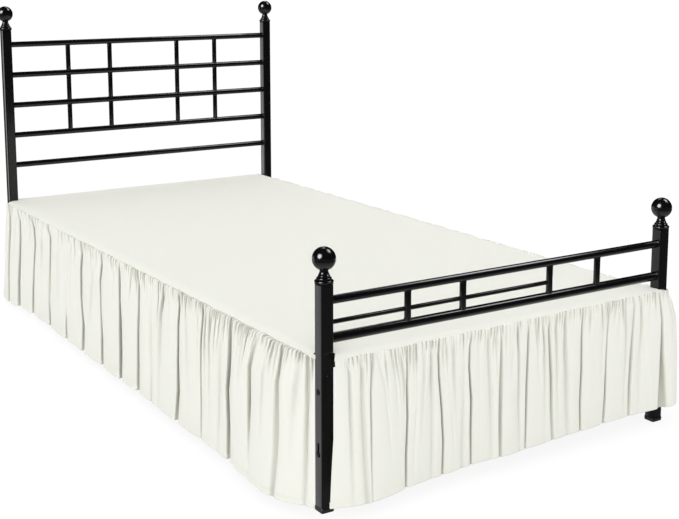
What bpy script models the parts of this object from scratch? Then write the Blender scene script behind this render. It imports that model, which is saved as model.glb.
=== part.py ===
"""Bed skirt on a metal bed frame, modelled for Blender 4.5, in metres, +Z up.

The skirt is a flat deck panel with three gathered drops sewn round it: a left one, a foot one that
wraps the front right corner, and a right one. The head end has no drop. It lies on a twin metal bed:
four square posts with ball finials, a tall headboard grid, a low footboard grid, rails and slats.
The origin is on the floor under the middle of the object's box. X runs across the bed, -X being its
left side, and Y runs from the foot end (-Y) to the head end (+Y). Everything is built round the middle
of the four posts, and hangs from an empty that stands there.
"""

import math
from collections import namedtuple

import bmesh
import bpy
from mathutils import Matrix, Vector
from mathutils.geometry import delaunay_2d_cdt

# ---------------------------------------------------------------- driving dimensions, in metres
GAP = 0.0003  # left between two pieces that touch

POSTS_MIDDLE = (0.012, 0.0275, 0.0)  # the drops flare most at the foot and on the left
POST_ACROSS = 0.972  # between the post centres, left to right
POST_ALONG = 1.960  # between the post centres, foot to head
POST_SIZE = 0.029  # square tube
POST_CHAMFER = 0.002
FOOT_POST_TOP = 0.488
HEAD_POST_TOP = 0.908

CAP_SIZE = 0.0315  # square plastic cap under each post
CAP_HEIGHT = 0.010

BALL_RADIUS = 0.025
BALL_RISE = 0.053  # ball centre above the post top
NECK_RADIUS = 0.0085
COLLAR_RADIUS = 0.0195
FINIAL_SEGMENTS = 18

RAIL_RADIUS = 0.0092  # round tube of the headboard's rails and of the footboard's top rail
FOOT_LOW_RADIUS = 0.0107  # the footboard's bottom rail is stouter
BAR_RADIUS = 0.0077  # round uprights of both boards
MIDDLE_RADIUS = 0.0050  # the footboard's thin middle bar
TUBE_SIDES = 12
TUBE_CHAMFER = 0.0012  # on the square rails under the slats
HEAD_RAILS = (0.861, 0.761, 0.661, 0.561, 0.461)  # heights of the headboard's rails
FOOT_TOP_RAIL = 0.4525
FOOT_LOW_RAIL = 0.3718
FOOT_MIDDLE = 0.4055
UPRIGHTS = (0.2165, 0.370, 0.630, 0.7835)  # shares of the way from the left post to the right one

CLOTH = 0.002  # thickness of every cloth panel
DECK_TOP = 0.343
SIDE_SEAM_OUT = 0.024  # side seams lie this far outside the post centres
HEAD_EDGE_OUT = 0.012
NOTCH_CLEARANCE = 0.002  # the cloth stays this far from the posts
EDGE_ROLL = 0.022  # the deck turns down over this width before the left and foot seams
EDGE_FALL = 0.008  # and by this much
RIGHT_ROLL = 0.0555  # on the right it slopes from the slat ends
RIGHT_FALL = 0.020
CORNER_FALL = 0.003  # less at the front right corner
CORNER_RADIUS = 0.010

SLAT_COUNT = 8
SLAT_WIDTH = 0.030
SLAT_THICK = 0.010
SLAT_LENGTH = 0.905
SIDE_RAIL_SIZE = 0.026
SIDE_RAIL_IN = 0.018  # its outer face lies this far inside the post centres
CROSS_RAIL_SIZE = 0.016
CROSS_RAIL_DOWN = 0.007  # its top lies this far below the slats

UPPER_BOLT_HEIGHT = 0.261
KEYHOLE_HEIGHT = 0.127
FRONT_SCREW_HEIGHT = 0.297

# ---------------------------------------------------------------- worked out from them
HALF_ACROSS = POST_ACROSS / 2
HALF_ALONG = POST_ALONG / 2
HALF_POST = POST_SIZE / 2
DECK_UNDER = DECK_TOP - CLOTH
SLAT_TOP = DECK_UNDER - GAP
SIDE_RAIL_TOP = SLAT_TOP - SLAT_THICK - GAP
SEAM_X = HALF_ACROSS + SIDE_SEAM_OUT
HEAD_EDGE_Y = HALF_ALONG + HEAD_EDGE_OUT
NOTCH = HALF_POST + NOTCH_CLEARANCE
SIDE_SEAM_HEAD = HALF_ALONG - NOTCH  # the head corners of the deck are cut out round the posts
LEFT_SEAM_FOOT = -HALF_ALONG - 0.005

# The foot seam starts in front of the left post. It runs a little askew, further out there than at right.
FOOT_LEFT = Vector((-HALF_ACROSS + 0.0033, -HALF_ALONG - 0.0383))
FOOT_RIGHT = Vector((SEAM_X, -HALF_ALONG - 0.023))
FOOT_END = Vector((SEAM_X, -HALF_ALONG + 0.022))

# ---------------------------------------------------------------- the folds
# One row for each fold that runs from the seam to the hem. top and hem are distances along the seam
# from the drop's first end; flare is how far the hem stands out from the seam at the fold; rise is how
# far the soft ridge between this fold and the next stands proud of both.
Fold = namedtuple("Fold", "top hem flare rise")

LEFT_FOLDS = (  # from the head end to the foot end
    Fold(top=0.000, hem=-0.014, flare=0.022, rise=0.008),
    Fold(top=0.012, hem=0.047, flare=0.034, rise=0.008),
    Fold(top=0.091, hem=0.133, flare=0.024, rise=0.014),
    Fold(top=0.227, hem=0.229, flare=0.011, rise=0.016),
    Fold(top=0.378, hem=0.404, flare=0.014, rise=0.010),
    Fold(top=0.518, hem=0.565, flare=0.022, rise=0.010),
    Fold(top=0.640, hem=0.701, flare=0.025, rise=0.012),
    Fold(top=0.796, hem=0.852, flare=0.027, rise=0.012),
    Fold(top=0.920, hem=0.989, flare=0.031, rise=0.012),
    Fold(top=1.047, hem=1.109, flare=0.031, rise=0.009),
    Fold(top=1.129, hem=1.192, flare=0.034, rise=0.008),
    Fold(top=1.220, hem=1.271, flare=0.037, rise=0.011),
    Fold(top=1.313, hem=1.356, flare=0.039, rise=0.010),
    Fold(top=1.438, hem=1.493, flare=0.040, rise=0.007),
    Fold(top=1.480, hem=1.547, flare=0.043, rise=0.010),
    Fold(top=1.580, hem=1.637, flare=0.046, rise=0.014),
    Fold(top=1.702, hem=1.767, flare=0.060, rise=0.018),
    Fold(top=1.824, hem=1.875, flare=0.064, rise=0.014),
    Fold(top=1.901, hem=1.941, flare=0.030, rise=0.007),
    Fold(top=1.949, hem=1.979, flare=0.018, rise=0.000),
)
FOOT_FOLDS = (  # from in front of the front left post, round the front right corner
    Fold(top=0.000, hem=-0.024, flare=0.014, rise=0.008),
    Fold(top=0.036, hem=0.022, flare=0.032, rise=0.014),
    Fold(top=0.100, hem=0.076, flare=0.040, rise=0.016),
    Fold(top=0.187, hem=0.178, flare=0.024, rise=0.013),
    Fold(top=0.274, hem=0.284, flare=0.014, rise=0.012),
    Fold(top=0.356, hem=0.376, flare=0.010, rise=0.012),
    Fold(top=0.447, hem=0.445, flare=0.018, rise=0.013),
    Fold(top=0.523, hem=0.527, flare=0.014, rise=0.010),
    Fold(top=0.595, hem=0.609, flare=0.014, rise=0.006),
    Fold(top=0.635, hem=0.649, flare=0.013, rise=0.009),
    Fold(top=0.688, hem=0.702, flare=0.012, rise=0.012),
    Fold(top=0.774, hem=0.785, flare=0.011, rise=0.013),
    Fold(top=0.856, hem=0.870, flare=0.011, rise=0.012),
    Fold(top=0.946, hem=0.966, flare=0.014, rise=0.008),
    Fold(top=0.998, hem=1.008, flare=0.034, rise=0.006),
    Fold(top=1.0335, hem=1.031, flare=0.038, rise=0.000),
)
RIGHT_FOLDS = (  # from the front right corner to the head end
    Fold(top=0.000, hem=-0.0015, flare=0.038, rise=0.000),
    Fold(top=0.062, hem=0.058, flare=0.040, rise=0.014),
    Fold(top=0.178, hem=0.166, flare=0.044, rise=0.016),
    Fold(top=0.292, hem=0.300, flare=0.038, rise=0.013),
    Fold(top=0.389, hem=0.392, flare=0.033, rise=0.009),
    Fold(top=0.470, hem=0.463, flare=0.035, rise=0.015),
    Fold(top=0.604, hem=0.596, flare=0.031, rise=0.014),
    Fold(top=0.712, hem=0.722, flare=0.028, rise=0.010),
    Fold(top=0.801, hem=0.806, flare=0.030, rise=0.016),
    Fold(top=0.940, hem=0.928, flare=0.026, rise=0.014),
    Fold(top=1.058, hem=1.066, flare=0.024, rise=0.009),
    Fold(top=1.139, hem=1.140, flare=0.027, rise=0.015),
    Fold(top=1.276, hem=1.262, flare=0.024, rise=0.014),
    Fold(top=1.394, hem=1.401, flare=0.021, rise=0.011),
    Fold(top=1.492, hem=1.490, flare=0.024, rise=0.016),
    Fold(top=1.631, hem=1.620, flare=0.021, rise=0.013),
    Fold(top=1.742, hem=1.750, flare=0.024, rise=0.010),
    Fold(top=1.835, hem=1.832, flare=0.028, rise=0.007),
    Fold(top=1.9217, hem=1.930, flare=0.024, rise=0.000),
)
# How a drop falls, from the seam to the hem: puff is how far the gathers push it out, and flare and
# fold are the shares of each fold's own flare and rise that it has reached.
Level = namedtuple("Level", "down puff flare fold")
LEVELS = (
    Level(down=0.00, puff=0.000, flare=0.00, fold=0.00),
    Level(down=0.03, puff=0.006, flare=0.02, fold=0.10),
    Level(down=0.09, puff=0.010, flare=0.10, fold=0.35),
    Level(down=0.24, puff=0.010, flare=0.28, fold=0.60),
    Level(down=0.48, puff=0.007, flare=0.52, fold=0.80),
    Level(down=0.75, puff=0.004, flare=0.77, fold=0.92),
    Level(down=1.00, puff=0.002, flare=1.00, fold=1.00),
)
COLUMN_STEP = 0.017  # between the mesh columns of a drop
RIDGE_POWER = 0.7  # below 1 the ridges are broad and the folds between them narrow
VALLEY_SHARE = 0.5  # part of the rise that goes inward at the fold

LEFT_HEM = (0.020, 0.025)  # height of the hem above the floor at each end of a drop
FOOT_HEM = (0.028, 0.050)
RIGHT_HEM = (0.050, 0.022)


# ---------------------------------------------------------------- materials
def principled(name, colour, roughness, metallic):
    """A Principled material with one colour, roughness and metallic value."""
    material = bpy.data.materials.new(name)
    material.use_nodes = True
    shader = material.node_tree.nodes["Principled BSDF"]
    shader.inputs["Base Color"].default_value = (*colour, 1.0)
    shader.inputs["Roughness"].default_value = roughness
    shader.inputs["Metallic"].default_value = metallic
    return material


# ---------------------------------------------------------------- mesh helpers
def new_object(name, bm, material, location=(0.0, 0.0, 0.0)):
    """Turns a bmesh into a named object."""
    mesh = bpy.data.meshes.new(name)
    bm.to_mesh(mesh)
    bm.free()
    mesh.materials.append(material)
    shown = bpy.data.objects.new(name, mesh)
    shown.location = location
    bpy.context.collection.objects.link(shown)
    return shown


def chamfered_square(size, chamfer):
    """The eight corners of a square tube's section, anticlockwise."""
    half = size / 2
    flat = half - chamfer
    return (
        (half, -flat), (half, flat), (flat, half), (-flat, half),
        (-half, flat), (-half, -flat), (-flat, -half), (flat, -half),
    )


def tube_mesh(size, length, chamfer):
    """A chamfered square bar along +Z, from 0 to length."""
    bm = bmesh.new()
    low = [bm.verts.new((x, y, 0.0)) for x, y in chamfered_square(size, chamfer)]
    face = bm.faces.new(low)
    top = bmesh.ops.extrude_face_region(bm, geom=[face])["geom"]
    bmesh.ops.translate(
        bm, vec=(0.0, 0.0, length), verts=[v for v in top if isinstance(v, bmesh.types.BMVert)]
    )
    bmesh.ops.recalc_face_normals(bm, faces=bm.faces)
    return bm


def round_tube(radius, length, start_cope=0.0, end_cope=0.0):
    """A round bar along +Z from 0 to length. A coped end is hollowed across Y to fit round a tube along X.

    A cope is the radius of the tube that the end meets, and 0 leaves the end flat.
    """
    bm = bmesh.new()
    turns = [2 * math.pi * i / TUBE_SIDES for i in range(TUBE_SIDES)]
    section = [(radius * math.cos(a), radius * math.sin(a)) for a in turns]

    def hollow(cope, y):
        if not cope:
            return 0.0
        return cope - math.sqrt((cope + GAP) ** 2 - y * y) + GAP

    low = [bm.verts.new((x, y, -hollow(start_cope, y))) for x, y in section]
    high = [bm.verts.new((x, y, length + hollow(end_cope, y))) for x, y in section]
    for i in range(TUBE_SIDES):
        j = (i + 1) % TUBE_SIDES
        bm.faces.new((low[i], low[j], high[j], high[i]))
    half = TUBE_SIDES // 2
    for ring in (low, high):
        for side in (1, -1):  # strips across the end, from the middle to each side
            for i in range(half // 2):
                near = ring[side * i % TUBE_SIDES], ring[(half - side * i) % TUBE_SIDES]
                far = ring[side * (i + 1) % TUBE_SIDES], ring[(half - side * (i + 1)) % TUBE_SIDES]
                bm.faces.new(list(dict.fromkeys((near[0], far[0], far[1], near[1]))))
    bmesh.ops.recalc_face_normals(bm, faces=bm.faces)
    return bm


def round_finish(tube):
    """Shades a tube's wall smooth and keeps its ends crisp."""
    tube.data.shade_smooth()
    tube.data.set_sharp_from_angle(angle=math.radians(40))


def post_tube(name, x, y, bottom, top, material):
    """A square post standing on its lower end."""
    return new_object(name, tube_mesh(POST_SIZE, top - bottom, POST_CHAMFER), material, (x, y, bottom))


def upright(name, x, y, low_rail, high_rail):
    """A round upright between two rails, each given as its height and radius."""
    bottom = low_rail[0] + low_rail[1] + GAP
    top = high_rail[0] - high_rail[1] - GAP
    bm = round_tube(BAR_RADIUS, top - bottom, low_rail[1], high_rail[1])
    round_finish(new_object(name, bm, PAINT, (x, y, bottom)))


def crossbar(name, start, end, y, z, radius, start_cope=0.0, end_cope=0.0):
    """A round bar lying along X, from start to end."""
    bm = round_tube(radius, end - start, start_cope, end_cope)
    bar = new_object(name, bm, PAINT, (start, y, z))
    bar.rotation_euler = (0.0, math.radians(90), 0.0)
    round_finish(bar)


def square_crossbar(name, start, end, y, z, size, material):
    """A square tube lying along X, from start to end."""
    bar = new_object(name, tube_mesh(size, end - start, TUBE_CHAMFER), material, (start, y, z))
    bar.rotation_euler = (0.0, math.radians(90), 0.0)
    return bar


def long_rail(name, x, start, end, z, size, material):
    """A square tube lying along Y, from start to end."""
    rail = new_object(name, tube_mesh(size, end - start, TUBE_CHAMFER), material, (x, end, z))
    rail.rotation_euler = (math.radians(90), 0.0, 0.0)
    return rail


def block(name, size, location, material, bevel=0.0):
    """A box with bevelled edges, its centre at location."""
    bm = bmesh.new()
    bmesh.ops.create_cube(bm, size=1.0)
    bmesh.ops.scale(bm, vec=size, verts=bm.verts)
    if bevel:
        bmesh.ops.bevel(
            bm, geom=list(bm.edges), offset=bevel, segments=1, affect="EDGES", profile=0.5
        )
    return new_object(name, bm, material, location)


def disc(radius, thickness, segments=16):
    """A round plate standing on z = 0."""
    bm = bmesh.new()
    bmesh.ops.create_cone(
        bm, cap_ends=True, segments=segments, radius1=radius, radius2=radius, depth=thickness
    )
    bmesh.ops.translate(bm, vec=(0.0, 0.0, thickness / 2), verts=bm.verts)
    return bm


# ---------------------------------------------------------------- the bed
POSTS = {  # name: (x, y, top)
    "foot_left": (-HALF_ACROSS, -HALF_ALONG, FOOT_POST_TOP),
    "foot_right": (HALF_ACROSS, -HALF_ALONG, FOOT_POST_TOP),
    "head_left": (-HALF_ACROSS, HALF_ALONG, HEAD_POST_TOP),
    "head_right": (HALF_ACROSS, HALF_ALONG, HEAD_POST_TOP),
}


def finial_profile():
    """Radius and height of the turned finial above the post top, from the bottom up."""
    profile = [
        (0.0, 0.0),
        (COLLAR_RADIUS - 0.0015, 0.0),
        (COLLAR_RADIUS, 0.0015),
        (COLLAR_RADIUS, 0.0055),
        (COLLAR_RADIUS - 0.0025, 0.0080),
        (0.0135, 0.0125),
        (0.0100, 0.0180),
        (NECK_RADIUS, 0.0235),
    ]
    lowest = math.asin(NECK_RADIUS / BALL_RADIUS)
    rings = 8
    for i in range(rings + 1):
        angle = -math.pi / 2 + lowest + (math.pi - lowest) * i / rings
        radius = BALL_RADIUS * math.cos(angle) if i < rings else 0.0
        profile.append((radius, BALL_RISE + BALL_RADIUS * math.sin(angle)))
    return profile


def finial(name, x, y, base, material):
    """A ball on a flared collar, turned as one piece."""
    bm = bmesh.new()
    rings = []
    for radius, height in finial_profile():
        if radius == 0.0:
            rings.append([bm.verts.new((0.0, 0.0, height))])
            continue
        turns = (2 * math.pi * i / FINIAL_SEGMENTS for i in range(FINIAL_SEGMENTS))
        rings.append([
            bm.verts.new((radius * math.cos(a), radius * math.sin(a), height)) for a in turns
        ])
    for low, high in zip(rings, rings[1:]):
        for i in range(FINIAL_SEGMENTS):
            j = (i + 1) % FINIAL_SEGMENTS
            corners = [low[i % len(low)], low[j % len(low)], high[j % len(high)], high[i % len(high)]]
            bm.faces.new(list(dict.fromkeys(corners)))
    bmesh.ops.recalc_face_normals(bm, faces=bm.faces)
    made = new_object(name, bm, material, (x, y, base))
    made.data.shade_smooth()
    made.data.set_sharp_from_angle(angle=math.radians(40))
    return made


def keyhole_cutter(name, x, y):
    """A guide that cuts the keyhole and the bolt recess into a post's left face."""
    depth = 0.0018
    bm = bmesh.new()
    for radius, height in ((0.0072, KEYHOLE_HEIGHT), (0.0066, UPPER_BOLT_HEIGHT)):
        made = bmesh.ops.create_cone(
            bm, cap_ends=True, segments=16, radius1=radius, radius2=radius, depth=2 * depth
        )["verts"]
        bmesh.ops.rotate(bm, verts=made, matrix=Matrix.Rotation(math.radians(90), 3, "Y"))
        bmesh.ops.translate(bm, verts=made, vec=(0.0, 0.0, height))
    slot_height = 0.024
    slot = bmesh.ops.create_cube(bm, size=1.0)["verts"]
    bmesh.ops.scale(bm, vec=(1.7 * depth, 0.0070, slot_height), verts=slot)
    bmesh.ops.translate(bm, verts=slot, vec=(0.0, 0.0, KEYHOLE_HEIGHT + slot_height / 2))
    cutter = new_object(name, bm, PAINT, (x - HALF_POST, y, 0.0))
    cutter.hide_render = True
    cutter.display_type = "WIRE"
    return cutter


def build_posts():
    """Four square posts, each on its cap and under its finial."""
    for where, (x, y, top) in POSTS.items():
        post = post_tube(f"post_{where}", x, y, CAP_HEIGHT + GAP, top, PAINT)
        block(
            f"cap_{where}", (CAP_SIZE, CAP_SIZE, CAP_HEIGHT), (x, y, CAP_HEIGHT / 2), PLASTIC, 0.0015
        )
        finial(f"finial_{where}", x, y, top + GAP, PAINT)
        if where == "foot_left":
            cut = post.modifiers.new("keyhole", "BOOLEAN")
            cut.operation = "DIFFERENCE"
            cut.use_self = True
            cut.object = keyhole_cutter("keyhole_guide", x, y)


def build_bolts():
    """The two bolts and the screw that show on the front left post."""
    x, y, _top = POSTS["foot_left"]
    recess = 0.0018
    head = 0.0030
    face = x - HALF_POST + recess - GAP
    bolts = (("bolt_upper", 0.0048, UPPER_BOLT_HEIGHT), ("bolt_lower", 0.0045, KEYHOLE_HEIGHT))
    for name, radius, height in bolts:
        bolt = new_object(name, disc(radius, head), STEEL, (face, y, height))
        bolt.rotation_euler = (0.0, math.radians(-90), 0.0)
    screw = new_object(
        "screw_front", disc(0.0042, 0.0012), STEEL, (x, y - HALF_POST - GAP, FRONT_SCREW_HEIGHT)
    )
    screw.rotation_euler = (math.radians(90), 0.0, 0.0)


def build_headboard():
    """Five rails between the head posts, and four rows of uprights welded between the upper four."""
    inner = HALF_ACROSS - HALF_POST - GAP
    for i, z in enumerate(HEAD_RAILS, start=1):
        crossbar(f"head_rail_{i}", -inner, inner, HALF_ALONG, z, RAIL_RADIUS)
    for i, share in enumerate(UPRIGHTS, start=1):
        x = POST_ACROSS * (share - 0.5)
        for j in range(3):
            low, high = HEAD_RAILS[j + 1], HEAD_RAILS[j]
            upright(f"head_upright_{i}_{j + 1}", x, HALF_ALONG, (low, RAIL_RADIUS), (high, RAIL_RADIUS))


def build_footboard():
    """Two rails, four uprights, and a middle bar that runs from the left post to the third upright."""
    inner = HALF_ACROSS - HALF_POST - GAP
    crossbar("foot_rail_top", -inner, inner, -HALF_ALONG, FOOT_TOP_RAIL, RAIL_RADIUS)
    crossbar("foot_rail_bottom", -inner, inner, -HALF_ALONG, FOOT_LOW_RAIL, FOOT_LOW_RADIUS)
    low, high = (FOOT_LOW_RAIL, FOOT_LOW_RADIUS), (FOOT_TOP_RAIL, RAIL_RADIUS)
    stations = [POST_ACROSS * (share - 0.5) for share in UPRIGHTS]
    for i, x in enumerate(stations, start=1):
        upright(f"foot_upright_{i}", x, -HALF_ALONG, low, high)
    clear = BAR_RADIUS + GAP
    lefts = [-inner, stations[0] + clear, stations[1] + clear]
    rights = [x - clear for x in stations[:3]]
    for i, (left, right) in enumerate(zip(lefts, rights), start=1):
        start_cope = 0.0 if i == 1 else BAR_RADIUS
        name = f"foot_middle_{i}"
        crossbar(name, left, right, -HALF_ALONG, FOOT_MIDDLE, MIDDLE_RADIUS, start_cope, BAR_RADIUS)


def build_platform():
    """Cross rails, side rails and slats: the deck panel lies on them and hides them."""
    side_x = HALF_ACROSS - SIDE_RAIL_IN - SIDE_RAIL_SIZE / 2
    end_y = HALF_ALONG - CROSS_RAIL_SIZE / 2 - GAP
    for name, x in (("side_rail_left", -side_x), ("side_rail_right", side_x)):
        long_rail(name, x, -end_y, end_y, SIDE_RAIL_TOP - SIDE_RAIL_SIZE / 2, SIDE_RAIL_SIZE, PAINT)
    inner = HALF_ACROSS - HALF_POST - GAP
    for name, y in (("cross_rail_foot", -HALF_ALONG), ("cross_rail_head", HALF_ALONG)):
        z = SLAT_TOP - CROSS_RAIL_DOWN - CROSS_RAIL_SIZE / 2
        square_crossbar(name, -inner, inner, y, z, CROSS_RAIL_SIZE, PAINT)
    first = -HALF_ALONG + 0.11
    step = -2 * first / (SLAT_COUNT - 1)
    for i in range(SLAT_COUNT):
        block(
            f"slat_{i + 1}",
            (SLAT_LENGTH, SLAT_WIDTH, SLAT_THICK),
            (0.0, first + i * step, SLAT_TOP - SLAT_THICK / 2),
            PAINT,
            0.0015,
        )


# ---------------------------------------------------------------- the seam
def rounded(corners, radius, segments=5):
    """The corners of a plan path, with each inner corner turned into an arc."""
    points = [corners[0]]
    for before, corner, after in zip(corners, corners[1:], corners[2:]):
        towards = (before - corner).normalized()
        onward = (after - corner).normalized()
        half_angle = towards.angle(onward) / 2
        reach = radius / math.tan(half_angle)
        centre = corner + (towards + onward).normalized() * (radius / math.sin(half_angle))
        first = corner + towards * reach - centre
        sweep = first.angle_signed(corner + onward * reach - centre)
        for i in range(segments + 1):
            turn = -sweep * i / segments
            c, s = math.cos(turn), math.sin(turn)
            points.append(centre + Vector((first.x * c - first.y * s, first.x * s + first.y * c)))
    points.append(corners[-1])
    return points


class SeamPath:
    """A plan line read by distance. Outward is right of the way it runs, and it runs on past its ends."""

    def __init__(self, points):
        self.points = points
        self.at = [0.0]
        for a, b in zip(points, points[1:]):
            self.at.append(self.at[-1] + (b - a).length)
        self.length = self.at[-1]
        self.ways = [(b - a).normalized() for a, b in zip(points, points[1:])]

    def read(self, distance):
        """The point at that distance and the outward direction there."""
        i = 0
        while i < len(self.ways) - 1 and distance > self.at[i + 1]:
            i += 1
        way = self.ways[i]
        point = self.points[i] + way * (distance - self.at[i])
        blend = 0.020  # the outward direction turns smoothly over this distance each side
        total = Vector((0.0, 0.0))
        for k in range(-4, 5):
            j = 0
            probe = distance + blend * k / 4
            while j < len(self.ways) - 1 and probe > self.at[j + 1]:
                j += 1
            total += self.ways[j]
        total.normalize()
        return point, Vector((total.y, -total.x))


FOOT_PATH_POINTS = rounded([FOOT_LEFT, FOOT_RIGHT, FOOT_END], CORNER_RADIUS)


def foot_seam_y(x):
    """Where the foot seam lies at x, on the straight line between its two corners."""
    share = (x - FOOT_LEFT.x) / (FOOT_RIGHT.x - FOOT_LEFT.x)
    return FOOT_LEFT.y + (FOOT_RIGHT.y - FOOT_LEFT.y) * share


def deck_height(x, y):
    """Height of the deck's upper face: flat, and turned down towards the seams."""
    share = min(max((x - FOOT_LEFT.x) / (FOOT_RIGHT.x - FOOT_LEFT.x), 0.0), 1.0)
    foot = max((EDGE_ROLL - (y - foot_seam_y(x))) / EDGE_ROLL, 0.0)
    fall = (EDGE_FALL + (CORNER_FALL - EDGE_FALL) * share) * foot ** 2
    if x < 0.0:
        side = max((EDGE_ROLL - (SEAM_X + x)) / EDGE_ROLL, 0.0)
        return DECK_TOP - max(fall, EDGE_FALL * side ** 2)
    side = max((RIGHT_ROLL - (SEAM_X - x)) / RIGHT_ROLL, 0.0)
    corner = min(max((y + HALF_ALONG - 0.10) / -0.12, 0.0), 1.0)
    right_fall = RIGHT_FALL + (CORNER_FALL - RIGHT_FALL) * corner
    return DECK_TOP - max(fall, right_fall * side ** 1.25)


# ---------------------------------------------------------------- the cloth
def build_deck():
    """The flat panel: cut out round the head posts, slit at the front left, slotted at the front right."""
    left_x, right_x = -HALF_ACROSS, HALF_ACROSS
    outline = list(FOOT_PATH_POINTS)
    outline += [
        Vector((SEAM_X, SIDE_SEAM_HEAD)),
        Vector((right_x - NOTCH, SIDE_SEAM_HEAD)),
        Vector((right_x - NOTCH, HEAD_EDGE_Y)),
        Vector((left_x + NOTCH, HEAD_EDGE_Y)),
        Vector((left_x + NOTCH, SIDE_SEAM_HEAD)),
        Vector((-SEAM_X, SIDE_SEAM_HEAD)),
        Vector((-SEAM_X, LEFT_SEAM_FOOT)),
        Vector((left_x - NOTCH, LEFT_SEAM_FOOT)),
        Vector((left_x - NOTCH, -HALF_ALONG + NOTCH)),
        Vector((left_x + NOTCH, -HALF_ALONG + NOTCH)),
        Vector((left_x + NOTCH, -HALF_ALONG - NOTCH)),
        Vector((FOOT_LEFT.x, -HALF_ALONG - NOTCH)),
    ]
    slot = [
        Vector((right_x + i * NOTCH, -HALF_ALONG + j * NOTCH))
        for i, j in ((-1, -1), (1, -1), (1, 1), (-1, 1))
    ]
    points = outline + slot
    outer = len(outline)
    edges = []

    def line(start, end):
        points.extend((Vector(start), Vector(end)))
        edges.append((len(points) - 2, len(points) - 1))

    for step in (0.3, 0.6, 1.0):
        inset = EDGE_ROLL * step
        line((-SEAM_X + inset, -HALF_ALONG - 0.1), (-SEAM_X + inset, HEAD_EDGE_Y + 0.1))
        low, high = foot_seam_y(-SEAM_X), foot_seam_y(SEAM_X)
        line((-SEAM_X, low + inset), (SEAM_X, high + inset))
    for step in (0.35, 0.7, 0.85, 1.0):
        x = SEAM_X - RIGHT_ROLL * step
        line((x, -HALF_ALONG - 0.1), (x, HEAD_EDGE_Y + 0.1))
    line((HALF_ACROSS - 0.10, -HALF_ALONG + 0.10), (SEAM_X, -HALF_ALONG + 0.10))

    loops = [list(range(outer)), list(range(outer, outer + len(slot)))]
    verts, _edges, faces, _ov, _oe, covers = delaunay_2d_cdt(points, edges, loops, 1, 1e-6)
    bm = bmesh.new()
    made = [bm.verts.new((v.x, v.y, deck_height(v.x, v.y))) for v in verts]
    for face, inside in zip(faces, covers):
        if list(inside) == [0]:  # in the outline and not in the slot
            bm.faces.new([made[i] for i in face])
    loose = [v for v in bm.verts if not v.link_faces]
    bmesh.ops.delete(bm, geom=loose, context="VERTS")
    thicken_down(bm, CLOTH)
    return new_object("deck_panel", bm, FABRIC)


def thicken_down(bm, thickness):
    """Gives an open upward-facing sheet a flat underside straight below it."""
    top = list(bm.faces)
    border = [e for e in bm.edges if e.is_boundary]
    below = {v: bm.verts.new(v.co - Vector((0.0, 0.0, thickness))) for v in list(bm.verts)}
    for face in top:
        bm.faces.new([below[v] for v in reversed(face.verts)])
    for edge in border:
        a, b = edge.verts
        bm.faces.new((a, b, below[b], below[a]))
    bmesh.ops.recalc_face_normals(bm, faces=bm.faces)


def columns(path, folds):
    """Distances of a drop's mesh columns along the seam: every fold, even steps between, and the arcs."""
    marks = set()
    for a, b in zip(folds, folds[1:]):
        steps = max(2, round((b.top - a.top) / COLUMN_STEP))
        marks.update(a.top + (b.top - a.top) * i / steps for i in range(steps + 1))
    marks = sorted(marks)
    kept = [m for m in marks if all(abs(m - at) > 0.004 for at in path.at[1:-1])]
    return sorted(kept + path.at[1:-1])


def drop_point(path, folds, level, distance, hem_heights):
    """A point of the drop's outer face, at one level below the seam."""
    i = 0
    while i < len(folds) - 2 and distance > folds[i + 1].top:
        i += 1
    here, after = folds[i], folds[i + 1]
    share = min(max((distance - here.top) / (after.top - here.top), 0.0), 1.0)
    hem = here.hem + (after.hem - here.hem) * share
    flare = here.flare + (after.flare - here.flare) * share
    ridge = here.rise * (math.sin(math.pi * share) ** RIDGE_POWER - VALLEY_SHARE)
    along = distance + (hem - distance) * level.down
    seam, _out = path.read(distance)
    place, out = path.read(along)
    reach = level.puff + flare * level.flare + ridge * level.fold + GAP
    top = deck_height(seam.x, seam.y)
    low = hem_heights[0] + (hem_heights[1] - hem_heights[0]) * distance / path.length
    spot = place + out * reach
    return Vector((spot.x, spot.y, top + (low - top) * level.down))


def build_drop(name, path, folds, hem_heights):
    """A gathered panel: its top edge follows the seam, and its folds grow towards the hem."""
    at = columns(path, folds)
    outer = [[drop_point(path, folds, level, d, hem_heights) for d in at] for level in LEVELS]
    inner = []
    for row, points in enumerate(outer):
        line = []
        for i, point in enumerate(points):
            across = points[min(i + 1, len(points) - 1)] - points[max(i - 1, 0)]
            down = outer[min(row + 1, len(outer) - 1)][i] - outer[max(row - 1, 0)][i]
            inward = across.cross(down).normalized()
            line.append(point + (Vector((0.0, 0.0, -CLOTH)) if row == 0 else inward * CLOTH))
        inner.append(line)
    bm = bmesh.new()
    front = [[bm.verts.new(p) for p in row] for row in outer]
    back = [[bm.verts.new(p) for p in row] for row in inner]
    rows, count = len(front), len(at)
    for r in range(rows - 1):
        for i in range(count - 1):
            bm.faces.new((front[r][i], front[r][i + 1], front[r + 1][i + 1], front[r + 1][i]))
            bm.faces.new((back[r][i], back[r + 1][i], back[r + 1][i + 1], back[r][i + 1]))
        for i in (0, count - 1):
            bm.faces.new((front[r][i], front[r + 1][i], back[r + 1][i], back[r][i]))
    for i in range(count - 1):
        for r in (0, rows - 1):
            bm.faces.new((front[r][i], front[r][i + 1], back[r][i + 1], back[r][i]))
    bmesh.ops.recalc_face_normals(bm, faces=bm.faces)
    made = new_object(name, bm, FABRIC)
    made.data.shade_smooth()
    return made


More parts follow.
